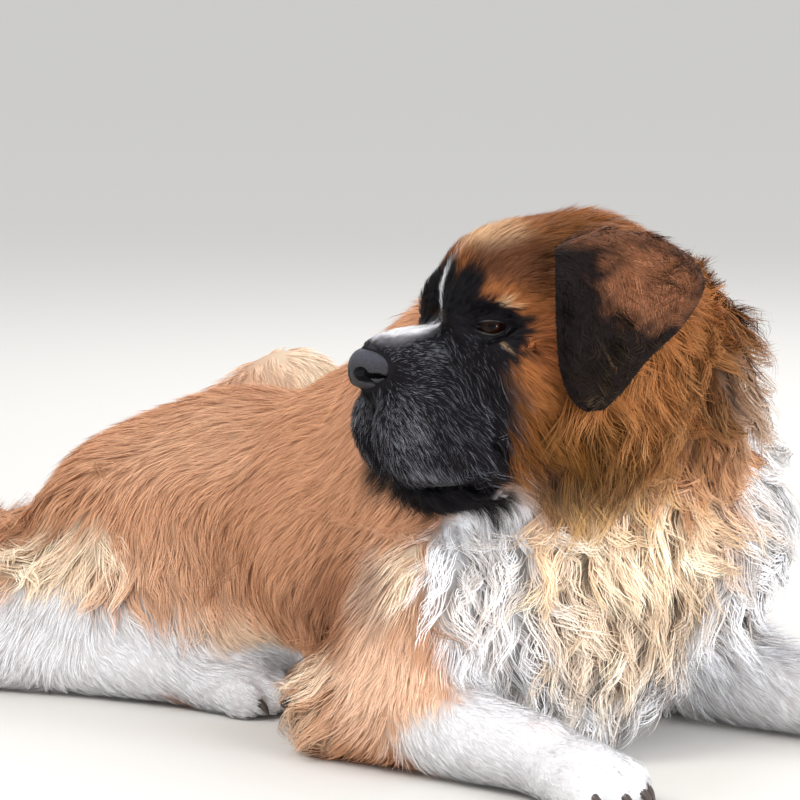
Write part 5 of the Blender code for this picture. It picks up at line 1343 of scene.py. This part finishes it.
nose_centre = np.array(head_point(-0.014, 0.0, -0.008))
nose_points, nose_faces = level_mesh(nose_field, nose_centre - 0.036, nose_centre + 0.036,
                                     0.0008)
nose_material = streak_material("Nose leather", tone(26, 25, 31), 0.45, 800.0, 0.0009)
leather = nose_material.node_tree.nodes.new("ShaderNodeAttribute")
leather.attribute_name = "Coat"
nose_material.node_tree.links.new(leather.outputs["Color"],
                                  nose_material.node_tree.nodes["Principled BSDF"].inputs["Base Color"])
new_object("nose_leather", array_mesh("nose_leather", nose_points, nose_faces, nose_tones(nose_points)),
           nose_material, ("nose",))

lip_material = streak_material("Lip skin", tone(10, 8, 9), 0.5, 260.0, 0.0012)
LIP = ((-0.030, 0.034, -0.092), (-0.043, 0.042, -0.104), (-0.066, 0.047, -0.1115), (-0.100, 0.051, -0.109),
       (-0.126, 0.054, -0.099))
lips = [head_tube(LIP, (0.0006, 0.0012, 0.0014, 0.0013, 0.0008), side, steps=40)
        for side in (1, -1)]
new_object("lips", array_mesh("lips", *joined(lips)), lip_material)

claw_material = streak_material("Claw", tone(66, 56, 52), 0.4, 300.0, 0.0003, 0.2)
for paw in PAWS:
    for toe in range(len(TOE_SPREAD)):
        node = "claw_%s_%d" % (paw[0], toe + 1)
        points, faces = claw_piece(paw, toe)
        new_object("horn_" + node[5:], array_mesh("horn_" + node[5:], points, faces), claw_material, (node,))

webbing = streak_material("Webbing", tone(225, 226, 228), 0.7, 500.0, 0.0005)
for node in ("collar", "collar_tab"):
    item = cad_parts[node]
    item.data.materials.clear()
    item.data.materials.append(webbing)

# studio
scene = bpy.context.scene
camera_data = bpy.data.cameras.new("Camera")
camera_data.sensor_width = 36.0
camera_data.lens = 4200.0 / 800.0 * 36.0
camera_data.clip_end = 200.0
camera = bpy.data.objects.new("Camera", camera_data)
camera.location = Vector((0.0, -3.966, 0.869)) + Vector(OFFSET)
camera.rotation_euler = (math.radians(90.0 - 7.5), 0.0, 0.0)
scene.collection.objects.link(camera)
scene.camera = camera

floor_mesh = bpy.data.meshes.new("Floor")
floor_shape = bmesh.new()
bmesh.ops.create_grid(floor_shape, x_segments=1, y_segments=1, size=60.0)
floor_shape.to_mesh(floor_mesh)
floor_shape.free()
floor_material, _, _ = principled("Floor", tone(214, 212, 208), 0.9)
floor_mesh.materials.append(floor_material)
floor = bpy.data.objects.new("Floor", floor_mesh)
scene.collection.objects.link(floor)

world = bpy.data.worlds.new("Studio")
world.use_nodes = True
world.node_tree.nodes["Background"].inputs["Color"].default_value = (0.90, 0.91, 0.93, 1.0)
world.node_tree.nodes["Background"].inputs["Strength"].default_value = 0.95
scene.world = world
scene.view_settings.view_transform = "Standard"


def soft_light(name, place, aim, size, power, colour, glossy=True):
    data = bpy.data.lights.new(name, "AREA")
    data.shape = "DISK"
    data.size = size
    data.energy = power
    data.color = colour
    light = bpy.data.objects.new(name, data)
    light.location = place
    light.rotation_euler = (Vector(aim) - Vector(place)).to_track_quat("-Z", "Y").to_euler()
    light.visible_glossy = glossy
    light.visible_camera = False
    scene.collection.objects.link(light)


soft_light("Key", (-1.8, -2.2, 3.0), (0.0, -0.1, 0.25), 1.8, 82.0, (1.0, 0.98, 0.95))
soft_light("Fill", (2.0, -2.6, 1.0), (0.3, -0.1, 0.15), 2.2, 95.0, (0.95, 0.97, 1.0),
           glossy=False)
soft_light("Catch", (1.4, -2.6, 0.25), (0.05, -0.12, 0.43), 0.35, 12.0, (1.0, 1.0, 1.0))
soft_light("Back", (0.6, 2.6, 2.6), (0.0, 0.1, 0.3), 2.0, 45.0, (1.0, 1.0, 1.0))
